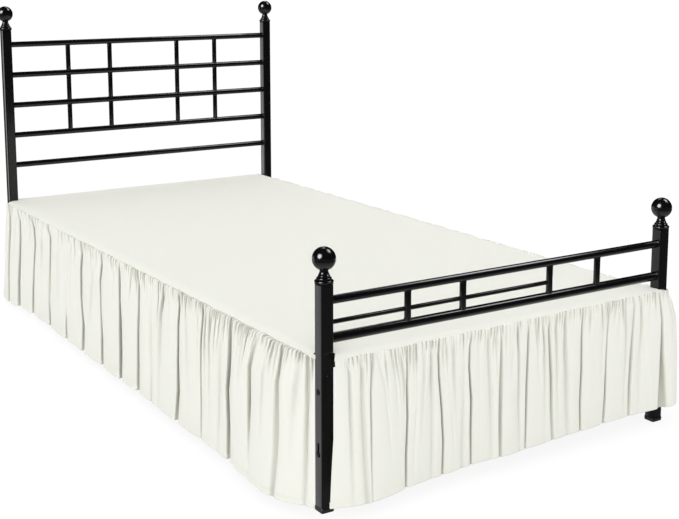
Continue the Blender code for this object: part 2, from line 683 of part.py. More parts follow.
def build_skirt():
    """The deck panel and its three drops."""
    build_deck()
    left = SeamPath([Vector((-SEAM_X, SIDE_SEAM_HEAD)), Vector((-SEAM_X, LEFT_SEAM_FOOT))])
    build_drop("drop_left", left, LEFT_FOLDS, LEFT_HEM)
    foot = SeamPath(FOOT_PATH_POINTS)
    build_drop("drop_foot", foot, FOOT_FOLDS, FOOT_HEM)
    right = SeamPath([FOOT_END + Vector((0.0, 3 * GAP)), Vector((SEAM_X, SIDE_SEAM_HEAD))])
    build_drop("drop_right", right, RIGHT_FOLDS, RIGHT_HEM)


def hang_from_middle():
    """Parents every object to an empty under the middle of the posts."""
    pieces = list(bpy.data.objects)
    middle = bpy.data.objects.new("posts_middle", None)
    middle.location = POSTS_MIDDLE
    bpy.context.collection.objects.link(middle)
    for piece in pieces:
        piece.parent = middle


for old in list(bpy.data.objects):
    bpy.data.objects.remove(old, do_unlink=True)

PAINT = principled("black_paint", (0.010, 0.010, 0.011), 0.32, 0.0)
PLASTIC = principled("black_plastic", (0.012, 0.012, 0.013), 0.5, 0.0)
STEEL = principled("black_steel", (0.020, 0.020, 0.022), 0.35, 0.9)
FABRIC = principled("ivory_cloth", (0.80, 0.80, 0.74), 0.85, 0.0)

build_posts()
build_bolts()
build_headboard()
build_footboard()
build_platform()
build_skirt()
hang_from_middle()
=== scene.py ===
"""Looks of the bed skirt on its metal bed frame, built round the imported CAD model, in metres.

The skirt's deck and its three gathered drops are fine sheets on the folds of their CAD solids. The
posts, finials, caps, tubes and bolts are rounder versions of their CAD nodes, and the platform under
the deck keeps its CAD meshes. Places are measured from the middle of the four posts, as in the CAD.
"""

import math
import random
from collections import namedtuple

import bmesh
import bpy
import numpy as np
from mathutils import Matrix, Vector
from mathutils.geometry import delaunay_2d_cdt


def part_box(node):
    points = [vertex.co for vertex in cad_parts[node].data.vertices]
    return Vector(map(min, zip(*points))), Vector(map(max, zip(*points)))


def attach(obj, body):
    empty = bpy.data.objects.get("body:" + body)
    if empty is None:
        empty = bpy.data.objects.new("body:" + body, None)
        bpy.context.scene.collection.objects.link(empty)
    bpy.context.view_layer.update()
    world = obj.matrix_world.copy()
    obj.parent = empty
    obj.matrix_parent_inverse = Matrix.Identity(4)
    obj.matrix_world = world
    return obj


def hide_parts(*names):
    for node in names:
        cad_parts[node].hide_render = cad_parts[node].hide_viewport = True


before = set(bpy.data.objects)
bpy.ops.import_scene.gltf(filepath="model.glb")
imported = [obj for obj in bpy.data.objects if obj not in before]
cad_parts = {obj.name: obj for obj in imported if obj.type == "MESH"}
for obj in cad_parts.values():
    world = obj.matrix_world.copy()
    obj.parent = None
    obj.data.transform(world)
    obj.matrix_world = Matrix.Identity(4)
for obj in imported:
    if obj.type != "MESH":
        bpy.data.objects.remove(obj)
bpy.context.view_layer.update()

MM = 0.001


# ---------------------------------------------------------------- places taken from the CAD model
def span(node):
    """The lowest corner, the highest corner, the size and the centre of a CAD node."""
    low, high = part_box(node)
    return low, high, high - low, (low + high) / 2


POST_NODES = ("post_foot_left", "post_foot_right", "post_head_left", "post_head_right")
post_centres = [span(name)[3] for name in POST_NODES]
MIDDLE = Vector((
    sum(c.x for c in post_centres) / len(post_centres),
    sum(c.y for c in post_centres) / len(post_centres),
    0.0,
))
HALF_ACROSS = (post_centres[1].x - post_centres[0].x) / 2
HALF_ALONG = (post_centres[2].y - post_centres[0].y) / 2
POST_SIZE = span("post_foot_left")[2].x
_deck_low, deck_high, deck_size, _deck_centre = span("deck_panel")
SEAM_X = deck_size.x / 2
DECK_TOP = deck_high.z
HEAD_EDGE_Y = deck_high.y - MIDDLE.y

# These repeat the driving dimensions of the CAD skirt, but for its smaller corner radius.
NOTCH = POST_SIZE / 2 + 2.0 * MM
EDGE_ROLL, EDGE_FALL = 22.0 * MM, 8.0 * MM
RIGHT_ROLL, RIGHT_FALL = 55.5 * MM, 20.0 * MM
CORNER_FALL = 3.0 * MM
CORNER_RADIUS = 30.0 * MM  # of the seam round the front right corner
SIDE_SEAM_HEAD = HALF_ALONG - NOTCH
LEFT_SEAM_FOOT = -HALF_ALONG - 5.0 * MM
FOOT_LEFT = Vector((-HALF_ACROSS + 3.3 * MM, -HALF_ALONG - 38.3 * MM))
FOOT_RIGHT = Vector((SEAM_X, -HALF_ALONG - 23.0 * MM))
FOOT_END = Vector((SEAM_X, -HALF_ALONG + 22.0 * MM))
LEFT_HEM = (20.0 * MM, 25.0 * MM)  # height of the hem at each end of a drop
FOOT_HEM = (28.0 * MM, 50.0 * MM)
RIGHT_HEM = (50.0 * MM, 22.0 * MM)


# ---------------------------------------------------------------- node trees
def add_node(tree, kind, **values):
    """A new node, with its inputs set by name or number."""
    node = tree.nodes.new(kind)
    for key, value in values.items():
        node.inputs[key].default_value = value
    return node


def maths(tree, operation, first, second=None, clamp=False):
    """A Math node's output. An input is a number or another node's output."""
    node = tree.nodes.new("ShaderNodeMath")
    node.operation = operation
    node.use_clamp = clamp
    for i, value in enumerate((first, second)):
        if isinstance(value, (int, float)):
            node.inputs[i].default_value = value
        elif value is not None:
            tree.links.new(value, node.inputs[i])
    return node.outputs[0]


def noise(tree, where, scale, detail=2.0, roughness=0.5):
    """A noise texture's value at a place."""
    node = add_node(tree, "ShaderNodeTexNoise", Scale=scale, Detail=detail, Roughness=roughness)
    tree.links.new(where, node.inputs["Vector"])
    return node.outputs["Fac"]


MIX_SOCKETS = {"RGBA": (0, 6, 7, 2), "FLOAT": (0, 2, 3, 0)}  # a Mix node's three inputs and its output


def mix(tree, share, first, second, kind="RGBA", blend="MIX"):
    """A Mix node's output. An input is a value or another node's output."""
    node = tree.nodes.new("ShaderNodeMix")
    node.data_type = kind
    node.blend_type = blend
    *inputs, output = MIX_SOCKETS[kind]
    for i, value in zip(inputs, (share, first, second)):
        if isinstance(value, bpy.types.NodeSocket):
            tree.links.new(value, node.inputs[i])
        else:
            node.inputs[i].default_value = value
    return node.outputs[output]


def between(tree, share, low, high):
    """share, from 0 to 1, spread from low to high. Both are numbers, or both are colours."""
    if isinstance(low, tuple):
        return mix(tree, share, (*low, 1.0), (*high, 1.0))
    return maths(tree, "ADD", maths(tree, "MULTIPLY", share, high - low), low)


def new_material(name):
    """An empty Principled material: the material, its tree and its shader."""
    material = bpy.data.materials.new(name)
    material.use_nodes = True
    tree = material.node_tree
    return material, tree, tree.nodes["Principled BSDF"]


def bump(tree, shader, height, distance, strength=1.0):
    """Feeds a height into the shader's normal."""
    node = add_node(tree, "ShaderNodeBump", Strength=strength, Distance=distance)
    tree.links.new(height, node.inputs["Height"])
    tree.links.new(node.outputs["Normal"], shader.inputs["Normal"])


# ---------------------------------------------------------------- materials
def black_paint():
    """Semi-gloss black paint baked on steel, with a faint orange peel."""
    material, tree, shader = new_material("black_paint")
    place = tree.nodes.new("ShaderNodeTexCoord").outputs["Object"]
    colour = between(tree, noise(tree, place, 14.0), (0.0024, 0.0024, 0.0030), (0.0038, 0.0038, 0.0044))
    tree.links.new(colour, shader.inputs["Base Color"])
    rough = between(tree, noise(tree, place, 45.0, 3.0), 0.13, 0.19)
    tree.links.new(rough, shader.inputs["Roughness"])
    shader.inputs["IOR"].default_value = 1.45
    bump(tree, shader, noise(tree, place, 160.0, 1.0), 0.02 * MM, 0.12)
    return material


def black_plastic():
    """Dull moulded plastic with a fine grain."""
    material, tree, shader = new_material("black_plastic")
    place = tree.nodes.new("ShaderNodeTexCoord").outputs["Object"]
    colour = between(tree, noise(tree, place, 60.0), (0.005, 0.005, 0.006), (0.009, 0.009, 0.010))
    tree.links.new(colour, shader.inputs["Base Color"])
    tree.links.new(between(tree, noise(tree, place, 200.0), 0.42, 0.58), shader.inputs["Roughness"])
    bump(tree, shader, noise(tree, place, 1400.0, 2.0), 0.08 * MM, 0.6)
    return material


def black_steel():
    """Blackened steel screws, with brighter wear on their faces."""
    material, tree, shader = new_material("black_steel")
    place = tree.nodes.new("ShaderNodeTexCoord").outputs["Object"]
    worn = noise(tree, place, 380.0, 3.0)
    colour = between(tree, worn, (0.015, 0.015, 0.017), (0.050, 0.050, 0.054))
    tree.links.new(colour, shader.inputs["Base Color"])
    tree.links.new(between(tree, worn, 0.30, 0.50), shader.inputs["Roughness"])
    shader.inputs["Metallic"].default_value = 0.9
    bump(tree, shader, noise(tree, place, 900.0), 0.05 * MM, 0.5)
    return material


FOLD_SHADE_TINT = (0.62, 0.61, 0.585)  # painted shade: the cloth's colour deep inside a fold or pucker, as a share of its plain colour
THREAD_PITCH = 0.9 * MM  # from one thread of the weave to the next but one


def ivory_cloth():
    """Brushed microfibre in ivory: a plain weave, faint slubs, a soft nap, and painted shade that darkens
    it deep in its folds and puckers.
    """
    material, tree, shader = new_material("ivory_cloth")
    cloth = tree.nodes.new("ShaderNodeUVMap")
    cloth.uv_map = "cut"
    place = cloth.outputs["UV"]
    split = tree.nodes.new("ShaderNodeSeparateXYZ")
    tree.links.new(place, split.inputs[0])
    threads = 2 * math.pi / THREAD_PITCH
    across = maths(tree, "SINE", maths(tree, "MULTIPLY", split.outputs["X"], threads))
    along = maths(tree, "SINE", maths(tree, "MULTIPLY", split.outputs["Y"], threads))
    weave = maths(tree, "MULTIPLY", across, along)
    nap = noise(tree, place, 900.0, 2.0)
    slub = noise(tree, place, 70.0, 3.0)
    broad = noise(tree, place, 3.0, 3.0)
    tone = maths(tree, "ADD", maths(tree, "MULTIPLY", slub, 0.35), maths(tree, "MULTIPLY", broad, 0.65))
    plain = between(tree, tone, (0.758, 0.761, 0.696), (0.778, 0.781, 0.720))
    # painted shade: the drops' fold attribute darkens the cloth's colour towards FOLD_SHADE_TINT deep in
    # folds and puckers
    painted_fold_shade = tree.nodes.new("ShaderNodeAttribute")
    painted_fold_shade.attribute_name = "fold"
    depth = between(tree, painted_fold_shade.outputs["Fac"], (1.0, 1.0, 1.0), FOLD_SHADE_TINT)
    tree.links.new(mix(tree, 1.0, plain, depth, blend="MULTIPLY"), shader.inputs["Base Color"])
    tree.links.new(between(tree, nap, 0.78, 0.92), shader.inputs["Roughness"])
    shader.inputs["IOR"].default_value = 1.35
    shader.inputs["Sheen Weight"].default_value = 0.08
    shader.inputs["Sheen Roughness"].default_value = 0.6
    height = maths(tree, "ADD", maths(tree, "MULTIPLY", weave, 0.5), maths(tree, "MULTIPLY", nap, 0.6))
    height = maths(tree, "ADD", height, maths(tree, "MULTIPLY", slub, 3.0))
    bump(tree, shader, height, 0.10 * MM, 0.5)
    return material


FLOOR_GLOW = 0.10  # light from the floor itself
FLOOR_LIFT = 0.86  # how far the camera sees the floor as plain white
WHITE = (1.0, 1.0, 1.0, 1.0)
PLAIN_WHITE = 1.02  # strength of the light that the camera sees as plain white


def pale_floor():
    """A plain pale floor, lit a little from within and shown to the camera mostly as plain white."""
    material = bpy.data.materials.new("pale_floor")
    material.use_nodes = True
    tree = material.node_tree
    tree.nodes.clear()
    path = tree.nodes.new("ShaderNodeLightPath")
    diffuse = add_node(tree, "ShaderNodeBsdfDiffuse", Color=(0.86, 0.86, 0.86, 1.0))
    glow = add_node(tree, "ShaderNodeEmission", Color=WHITE, Strength=FLOOR_GLOW)
    lifted = add_node(tree, "ShaderNodeEmission", Color=WHITE, Strength=PLAIN_WHITE)
    both = tree.nodes.new("ShaderNodeAddShader")
    tree.links.new(diffuse.outputs[0], both.inputs[0])
    tree.links.new(glow.outputs[0], both.inputs[1])
    shown = tree.nodes.new("ShaderNodeMixShader")
    tree.links.new(maths(tree, "MULTIPLY", path.outputs["Is Camera Ray"], FLOOR_LIFT), shown.inputs[0])
    tree.links.new(both.outputs[0], shown.inputs[1])
    tree.links.new(lifted.outputs[0], shown.inputs[2])
    out = tree.nodes.new("ShaderNodeOutputMaterial")
    tree.links.new(shown.outputs[0], out.inputs["Surface"])
    return material


PAINT = black_paint()
PLASTIC = black_plastic()
STEEL = black_steel()
FABRIC = ivory_cloth()
SLOTS = {"black_paint": PAINT, "black_plastic": PLASTIC, "black_steel": STEEL, "ivory_cloth": FABRIC}


# ---------------------------------------------------------------- pieces
def placed(name, data):
    """A new object in the scene."""
    made = bpy.data.objects.new(name, data)
    bpy.context.scene.collection.objects.link(made)
    return made


def new_piece(name, mesh, slot, *nodes):
    """A piece of the object: it rides on the root body and stands for the CAD nodes named."""
    made = placed(name, mesh)
    mesh.materials.clear()
    mesh.materials.append(SLOTS[slot])
    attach(made, "root")
    if nodes:
        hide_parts(*nodes)
    return made


def mesh_of(bm, name, sharp=40):
    """A bmesh turned into a mesh, smooth but for its sharp edges."""
    bmesh.ops.recalc_face_normals(bm, faces=bm.faces)
    mesh = bpy.data.meshes.new(name)
    bm.to_mesh(mesh)
    bm.free()
    mesh.shade_smooth()
    mesh.set_sharp_from_angle(angle=math.radians(sharp))
    return mesh


def turned(bm, profile, matrix, segments=48):
    """Adds a turned shape to a bmesh. profile holds (radius, height) pairs, and a radius of 0 is a pole."""
    rings = []
    for radius, height in profile:
        count = segments if radius > 0.0 else 1
        turns = [2 * math.pi * i / count for i in range(count)]
        points = [(radius * math.cos(a), radius * math.sin(a), height) for a in turns]
        rings.append([bm.verts.new(matrix @ Vector(p)) for p in points])
    for low, high in zip(rings, rings[1:]):
        for i in range(segments):
            j = i + 1
            corners = [low[i % len(low)], low[j % len(low)], high[j % len(high)], high[i % len(high)]]
            corners = list(dict.fromkeys(corners))
            if len(corners) > 2:
                bm.faces.new(corners)


AXES = {
    "X": Matrix.Rotation(math.radians(90), 4, "Y"),
    "Y": Matrix.Rotation(math.radians(-90), 4, "X"),
    "Z": Matrix.Identity(4),
}


def arc(centre_radius, centre_height, radius, start, end, steps):
    """Points of a profile on an arc, its angles in degrees from the outward direction."""
    turns = [math.radians(start + (end - start) * i / steps) for i in range(steps + 1)]
    return [(centre_radius + radius * math.cos(a), centre_height + radius * math.sin(a)) for a in turns]


# ---------------------------------------------------------------- the bed's tubes
def round_bar(name, axis, node):
    """A smooth round tube in the place of a CAD tube that lies along X or stands along Z."""
    low, _high, size, centre = span(node)
    long = "XYZ".index(axis)
    radius = min(size[i] for i in range(3) if i != long) / 2
    soft = 0.6 * MM
    profile = [(0.0, 0.0), *arc(radius - soft, soft, soft, -90, 0, 3)]
    profile += [*arc(radius - soft, size[long] - soft, soft, 0, 90, 3), (0.0, size[long])]
    start = centre.copy()
    start[long] = low[long]
    bm = bmesh.new()
    turned(bm, profile, Matrix.Translation(start) @ AXES[axis], 32)
    return new_piece(name, mesh_of(bm, name), "black_paint", node)


def weld(bm, centre, axis, radius, bead):
    """Adds a small fillet of weld round the end of a bar."""
    profile = arc(radius, 0.0, bead, -90, 90, 5)
    turned(bm, profile, Matrix.Translation(centre) @ AXES[axis], 28)


LYING_TUBES = ("head_rail_", "foot_rail_", "foot_middle_")
UNSHADING = ("foot_rail_", "foot_middle_", "foot_upright_")  # tubes that don't dim the cloth beside them
WELD_BEAD = 0.9 * MM
WELD_IN = 3.6 * MM  # how far an upright's welds lie inside its ends


def build_boards():
    """Rounds every tube of the headboard and the footboard, and welds them."""
    welds = bmesh.new()
    for node in sorted(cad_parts):
        low, high, size, centre = span(node)
        if node.startswith(LYING_TUBES):
            axis, across = "X", size.z
            ends = [Vector((x, centre.y, centre.z)) for x in (low.x, high.x)]
        elif "_upright_" in node:
            axis, across = "Z", size.x
            ends = [Vector((centre.x, centre.y, z)) for z in (low.z + WELD_IN, high.z - WELD_IN)]
        else:
            continue
        tube = round_bar(node + "_tube", axis, node)
        tube.visible_diffuse = tube.visible_shadow = not node.startswith(UNSHADING)
        for end in ends:
            weld(welds, end, axis, across / 2 - 0.2 * MM, WELD_BEAD)
    new_piece("weld_fillets", mesh_of(welds, "weld_fillets"), "black_paint")


# ---------------------------------------------------------------- the bed's posts
def joined_rings(bm, rings):
    """Adds the walls between rings of corners, and both ends."""
    for below, above in zip(rings, rings[1:]):
        for i in range(len(below)):
            j = (i + 1) % len(below)
            bm.faces.new((below[i], below[j], above[j], above[i]))
    bm.faces.new(list(reversed(rings[0])))
    bm.faces.new(rings[-1])


def rounded_square(half, radius, steps=5):
    """The outline of a square tube with rounded corners, anticlockwise."""
    flat = half - radius
    outline = []
    for i, (sx, sy) in enumerate(((1, 1), (-1, 1), (-1, -1), (1, -1))):
        for k in range(steps + 1):
            a = math.radians(90 * i + 90 * k / steps)
            outline.append((sx * flat + radius * math.cos(a), sy * flat + radius * math.sin(a)))
    return outline


def square_post(node):
    """A post with rounded corners in the place of the CAD one."""
    low, high, size, centre = span(node)
    bm = bmesh.new()
    outline = rounded_square(size.x / 2, 2.6 * MM)
    rings = []
    soft = 0.4 * MM
    for z, inset in ((low.z, soft), (low.z + soft, 0.0), (high.z - soft, 0.0), (high.z, soft)):
        shrink = 1 - inset / (size.x / 2)
        rings.append([bm.verts.new((centre.x + x * shrink, centre.y + y * shrink, z)) for x, y in outline])
    joined_rings(bm, rings)
    return new_piece(node + "_tube", mesh_of(bm, node + "_tube", 30), "black_paint", node)


KEYHOLE_HEIGHT, KEYHOLE_RADIUS = 127.0 * MM, 7.2 * MM
UPPER_BOLT_HEIGHT, RECESS_RADIUS = 261.0 * MM, 6.6 * MM


def cut_keyhole(post):
    """Cuts the keyhole and the bolt recess into the front left post's left face."""
    low, _high, _size, centre = span("post_foot_left")
    depth = 3.0 * MM
    bm = bmesh.new()
    face = Vector((low.x - depth, centre.y, 0.0))
    for radius, height in ((KEYHOLE_RADIUS, KEYHOLE_HEIGHT), (RECESS_RADIUS, UPPER_BOLT_HEIGHT)):
        place = Matrix.Translation(face + Vector((0.0, 0.0, height))) @ AXES["X"]
        turned(bm, [(0.0, 0.0), (radius, 0.0), (radius, 2 * depth), (0.0, 2 * depth)], place, 40)
    slot_height = 24.0 * MM
    slot = bmesh.ops.create_cube(bm, size=1.0)["verts"]
    bmesh.ops.scale(bm, vec=(1.9 * depth, 7.0 * MM, slot_height), verts=slot)
    middle = Vector((low.x, centre.y, KEYHOLE_HEIGHT + slot_height / 2))
    bmesh.ops.translate(bm, vec=middle, verts=slot)
    bmesh.ops.recalc_face_normals(bm, faces=bm.faces)
    mesh = bpy.data.meshes.new("keyhole_guide")
    bm.to_mesh(mesh)
    bm.free()
    guide = placed("keyhole_guide", mesh)
    cut = post.modifiers.new("keyhole", "BOOLEAN")
    cut.operation = "DIFFERENCE"
    cut.use_self = True
    cut.object = guide
    apply_modifiers(post)
    bpy.data.objects.remove(guide, do_unlink=True)
    post.data.set_sharp_from_angle(angle=math.radians(30))


def apply_modifiers(piece):
    """Turns a piece's modifiers into mesh."""
    graph = bpy.context.evaluated_depsgraph_get()
    graph.update()
    finished = piece.evaluated_get(graph)
    made = bpy.data.meshes.new_from_object(finished, preserve_all_data_layers=True, depsgraph=graph)
    piece.modifiers.clear()
    old = piece.data
    name = old.name
    piece.data = made
    bpy.data.meshes.remove(old)
    made.name = name


def finial_profile():
    """Radius and height of the turned finial: a stepped collar, a neck with a ring, and a ball."""
    ball, rise, collar = 25.0 * MM, 53.0 * MM, 19.5 * MM
    profile = [(0.0, 0.0), (collar - 0.8 * MM, 0.0), (collar, 0.6 * MM), (collar, 2.2 * MM)]
    profile += [(collar - 1.4 * MM, 3.0 * MM)]
    for radius, height, bead in ((17.3, 6.2, 2.9), (13.9, 12.4, 2.3), (11.1, 17.6, 1.9), (9.7, 22.0, 1.4)):
        profile += arc(radius * MM, height * MM, bead * MM, -60, 70, 8)
    profile += [(9.6 * MM, 25.6 * MM), (9.3 * MM, 28.0 * MM)]
    lowest = math.degrees(math.asin(9.4 * MM / ball)) - 90
    groove = 0.6 * MM  # where the ball's two halves meet
    for i in range(41):
        a = math.radians(lowest + (90 - lowest) * i / 40)
        radius = ball * math.cos(a) if i < 40 else 0.0
        if abs(a) < math.radians(2.4):
            radius -= groove
        profile.append((radius, rise + ball * math.sin(a)))
    return profile


def build_posts():
    """Four posts with their caps and finials."""
    for node in POST_NODES:
        post = square_post(node)
        if node == "post_foot_left":
            cut_keyhole(post)
        where = node.removeprefix("post_")
        low, _high, _size, centre = span("finial_" + where)
        bm = bmesh.new()
        turned(bm, finial_profile(), Matrix.Translation((centre.x, centre.y, low.z)), 72)
        name = "finial_turned_" + where
        new_piece(name, mesh_of(bm, name, 50), "black_paint", "finial_" + where)
        build_cap(where)


def build_cap(where):
    """A moulded foot cap, a little narrower at the floor, with a lip round its top."""
    low, _high, size, centre = span("cap_" + where)
    half = size.x / 2
    bm = bmesh.new()
    rows = (  # height as a share of the cap, and how far the wall stands in
        (0.0, 1.2 * MM), (0.10, 0.5 * MM), (0.20, 0.3 * MM), (0.26, 0.7 * MM),
        (0.34, 0.7 * MM), (0.40, 0.2 * MM), (0.90, 0.3 * MM), (1.0, 0.9 * MM),
    )
    rings = []
    for share, inset in rows:
        outline = rounded_square(half - inset, 3.2 * MM)
        z = low.z + size.z * share
        rings.append([bm.verts.new((centre.x + x, centre.y + y, z)) for x, y in outline])
    joined_rings(bm, rings)
    name = "cap_moulded_" + where
    new_piece(name, mesh_of(bm, name, 50), "black_plastic", "cap_" + where)


def socket_screw(name, node, axis, direction):
    """A screw head with a rounded rim and a hex socket, its face towards direction along the axis."""
    low, high, size, centre = span(node)
    long = "XYZ".index(axis)
    radius = max(size[i] for i in range(3) if i != long) / 2
    height = size[long]
    rim = min(0.7 * MM, height * 0.4)
    profile = [(0.0, 0.0), (radius, 0.0), *arc(radius - rim, height - rim, rim, 0, 90, 4)]
    profile += [(radius * 0.56, height)]
    bm = bmesh.new()
    back = centre.copy()
    back[long] = low[long] if direction > 0 else high[long]
    turn = AXES[axis] if direction > 0 else AXES[axis] @ Matrix.Rotation(math.pi, 4, "X")
    place = Matrix.Translation(back) @ turn
    turned(bm, profile, place, 36)
    flat, floor = radius * 0.48, height * 0.35
    hexagon = [(radius * 0.56, height), (flat, height - 0.15 * MM), (flat, floor), (0.0, floor)]
    turned(bm, hexagon, place, 6)
    new_piece(name, mesh_of(bm, name, 35), "black_steel", node)


# ---------------------------------------------------------------- the seam
def rounded(corners, radius, segments=8):
    """The corners of a plan path, with each inner corner turned into an arc."""
    points = [corners[0]]
    for before, corner, after in zip(corners, corners[1:], corners[2:]):
        towards = (before - corner).normalized()
        onward = (after - corner).normalized()
        half_angle = towards.angle(onward) / 2
        reach = radius / math.tan(half_angle)
        centre = corner + (towards + onward).normalized() * (radius / math.sin(half_angle))
        first = corner + towards * reach - centre
        sweep = first.angle_signed(corner + onward * reach - centre)
        for i in range(segments + 1):
            turn = -sweep * i / segments
            c, s = math.cos(turn), math.sin(turn)
            points.append(centre + Vector((first.x * c - first.y * s, first.x * s + first.y * c)))
    points.append(corners[-1])
    return points


class SeamPath:
    """A plan line read by distance, an array. Outward is right of the way that the line runs."""

    def __init__(self, points):
        self.points = np.array([(p.x, p.y) for p in points])
        steps = np.diff(self.points, axis=0)
        long = np.linalg.norm(steps, axis=1)
        self.ways = steps / long[:, None]
        self.at = np.concatenate(([0.0], np.cumsum(long)))
        self.length = self.at[-1]

    def run(self, distance):
        """Which straight run each distance lies on."""
        return np.clip(np.searchsorted(self.at, distance) - 1, 0, len(self.ways) - 1)

    def read(self, distance):
        """The points at those distances, and the outward directions there."""
        i = self.run(distance)
        point = self.points[i] + self.ways[i] * (distance - self.at[i])[..., None]
        blend = 0.020  # the outward direction turns smoothly over this distance each side
        total = sum(self.ways[self.run(distance + blend * k / 4)] for k in range(-4, 5))
        total = total / np.linalg.norm(total, axis=-1, keepdims=True)
        return point, np.stack((total[..., 1], -total[..., 0]), axis=-1)


FOOT_PATH_POINTS = rounded([FOOT_LEFT, FOOT_RIGHT, FOOT_END], CORNER_RADIUS)
LEFT_PATH = SeamPath([Vector((-SEAM_X, SIDE_SEAM_HEAD)), Vector((-SEAM_X, LEFT_SEAM_FOOT))])
FOOT_PATH = SeamPath(FOOT_PATH_POINTS)
RIGHT_PATH = SeamPath([FOOT_END + Vector((0.0, 0.9 * MM)), Vector((SEAM_X, SIDE_SEAM_HEAD))])


def foot_seam_y(x):
    """Where the foot seam lies at x."""
    share = (x - FOOT_LEFT.x) / (FOOT_RIGHT.x - FOOT_LEFT.x)
    return FOOT_LEFT.y + (FOOT_RIGHT.y - FOOT_LEFT.y) * share


def deck_height(x, y):
    """Height of the deck's upper face: flat, and turned down towards the seams."""
    share = np.clip((x - FOOT_LEFT.x) / (FOOT_RIGHT.x - FOOT_LEFT.x), 0.0, 1.0)
    foot = np.maximum((EDGE_ROLL - (y - foot_seam_y(x))) / EDGE_ROLL, 0.0)
    fall = (EDGE_FALL + (CORNER_FALL - EDGE_FALL) * share) * foot ** 2
    left = np.maximum((EDGE_ROLL - (SEAM_X + x)) / EDGE_ROLL, 0.0)
    right = np.maximum((RIGHT_ROLL - (SEAM_X - x)) / RIGHT_ROLL, 0.0)
    corner = np.clip((y + HALF_ALONG - 0.10) / -0.12, 0.0, 1.0)
    right_fall = RIGHT_FALL + (CORNER_FALL - RIGHT_FALL) * corner
    side = np.where(x < 0.0, EDGE_FALL * left ** 2, right_fall * right ** 1.25)
    near_corner = np.maximum(1 - np.hypot(SEAM_X - x, y - FOOT_RIGHT.y) / 0.045, 0.0)
    edge = np.maximum(foot, np.where(x < 0.0, left, right * RIGHT_ROLL / EDGE_ROLL - 1.5)).clip(0.0, 1.0)
    wave = 0.8 * MM * (np.sin(43.0 * (x + y)) + 0.7 * np.sin(87.0 * (x + y) + 1.0))
    return DECK_TOP - np.maximum(fall, side) - 9.0 * MM * near_corner ** 1.5 + wave * edge ** 2


# ---------------------------------------------------------------- the folds
# One row for each fold, from the first end of the drop to the other, in millimetres. at is where the
# fold lies along the seam and deep how far it goes in, each at the six STATIONS from the seam down to
# the hem, before CLOSING lessens it. wide is its half width near the seam, half way down and at the
# hem. edge is 2 for a soft trough, up to 3 for a crease with steep sides. flare is how far the hem
# stands out from the seam there, and rise is how far the soft billow from this fold to the next one
# that has a rise stands proud. The right drop is out of sight in the photograph, so its rows are invented.
STATIONS = (0.0, 0.10, 0.25, 0.50, 0.75, 1.0)
Fold = namedtuple("Fold", "at deep wide edge flare rise")

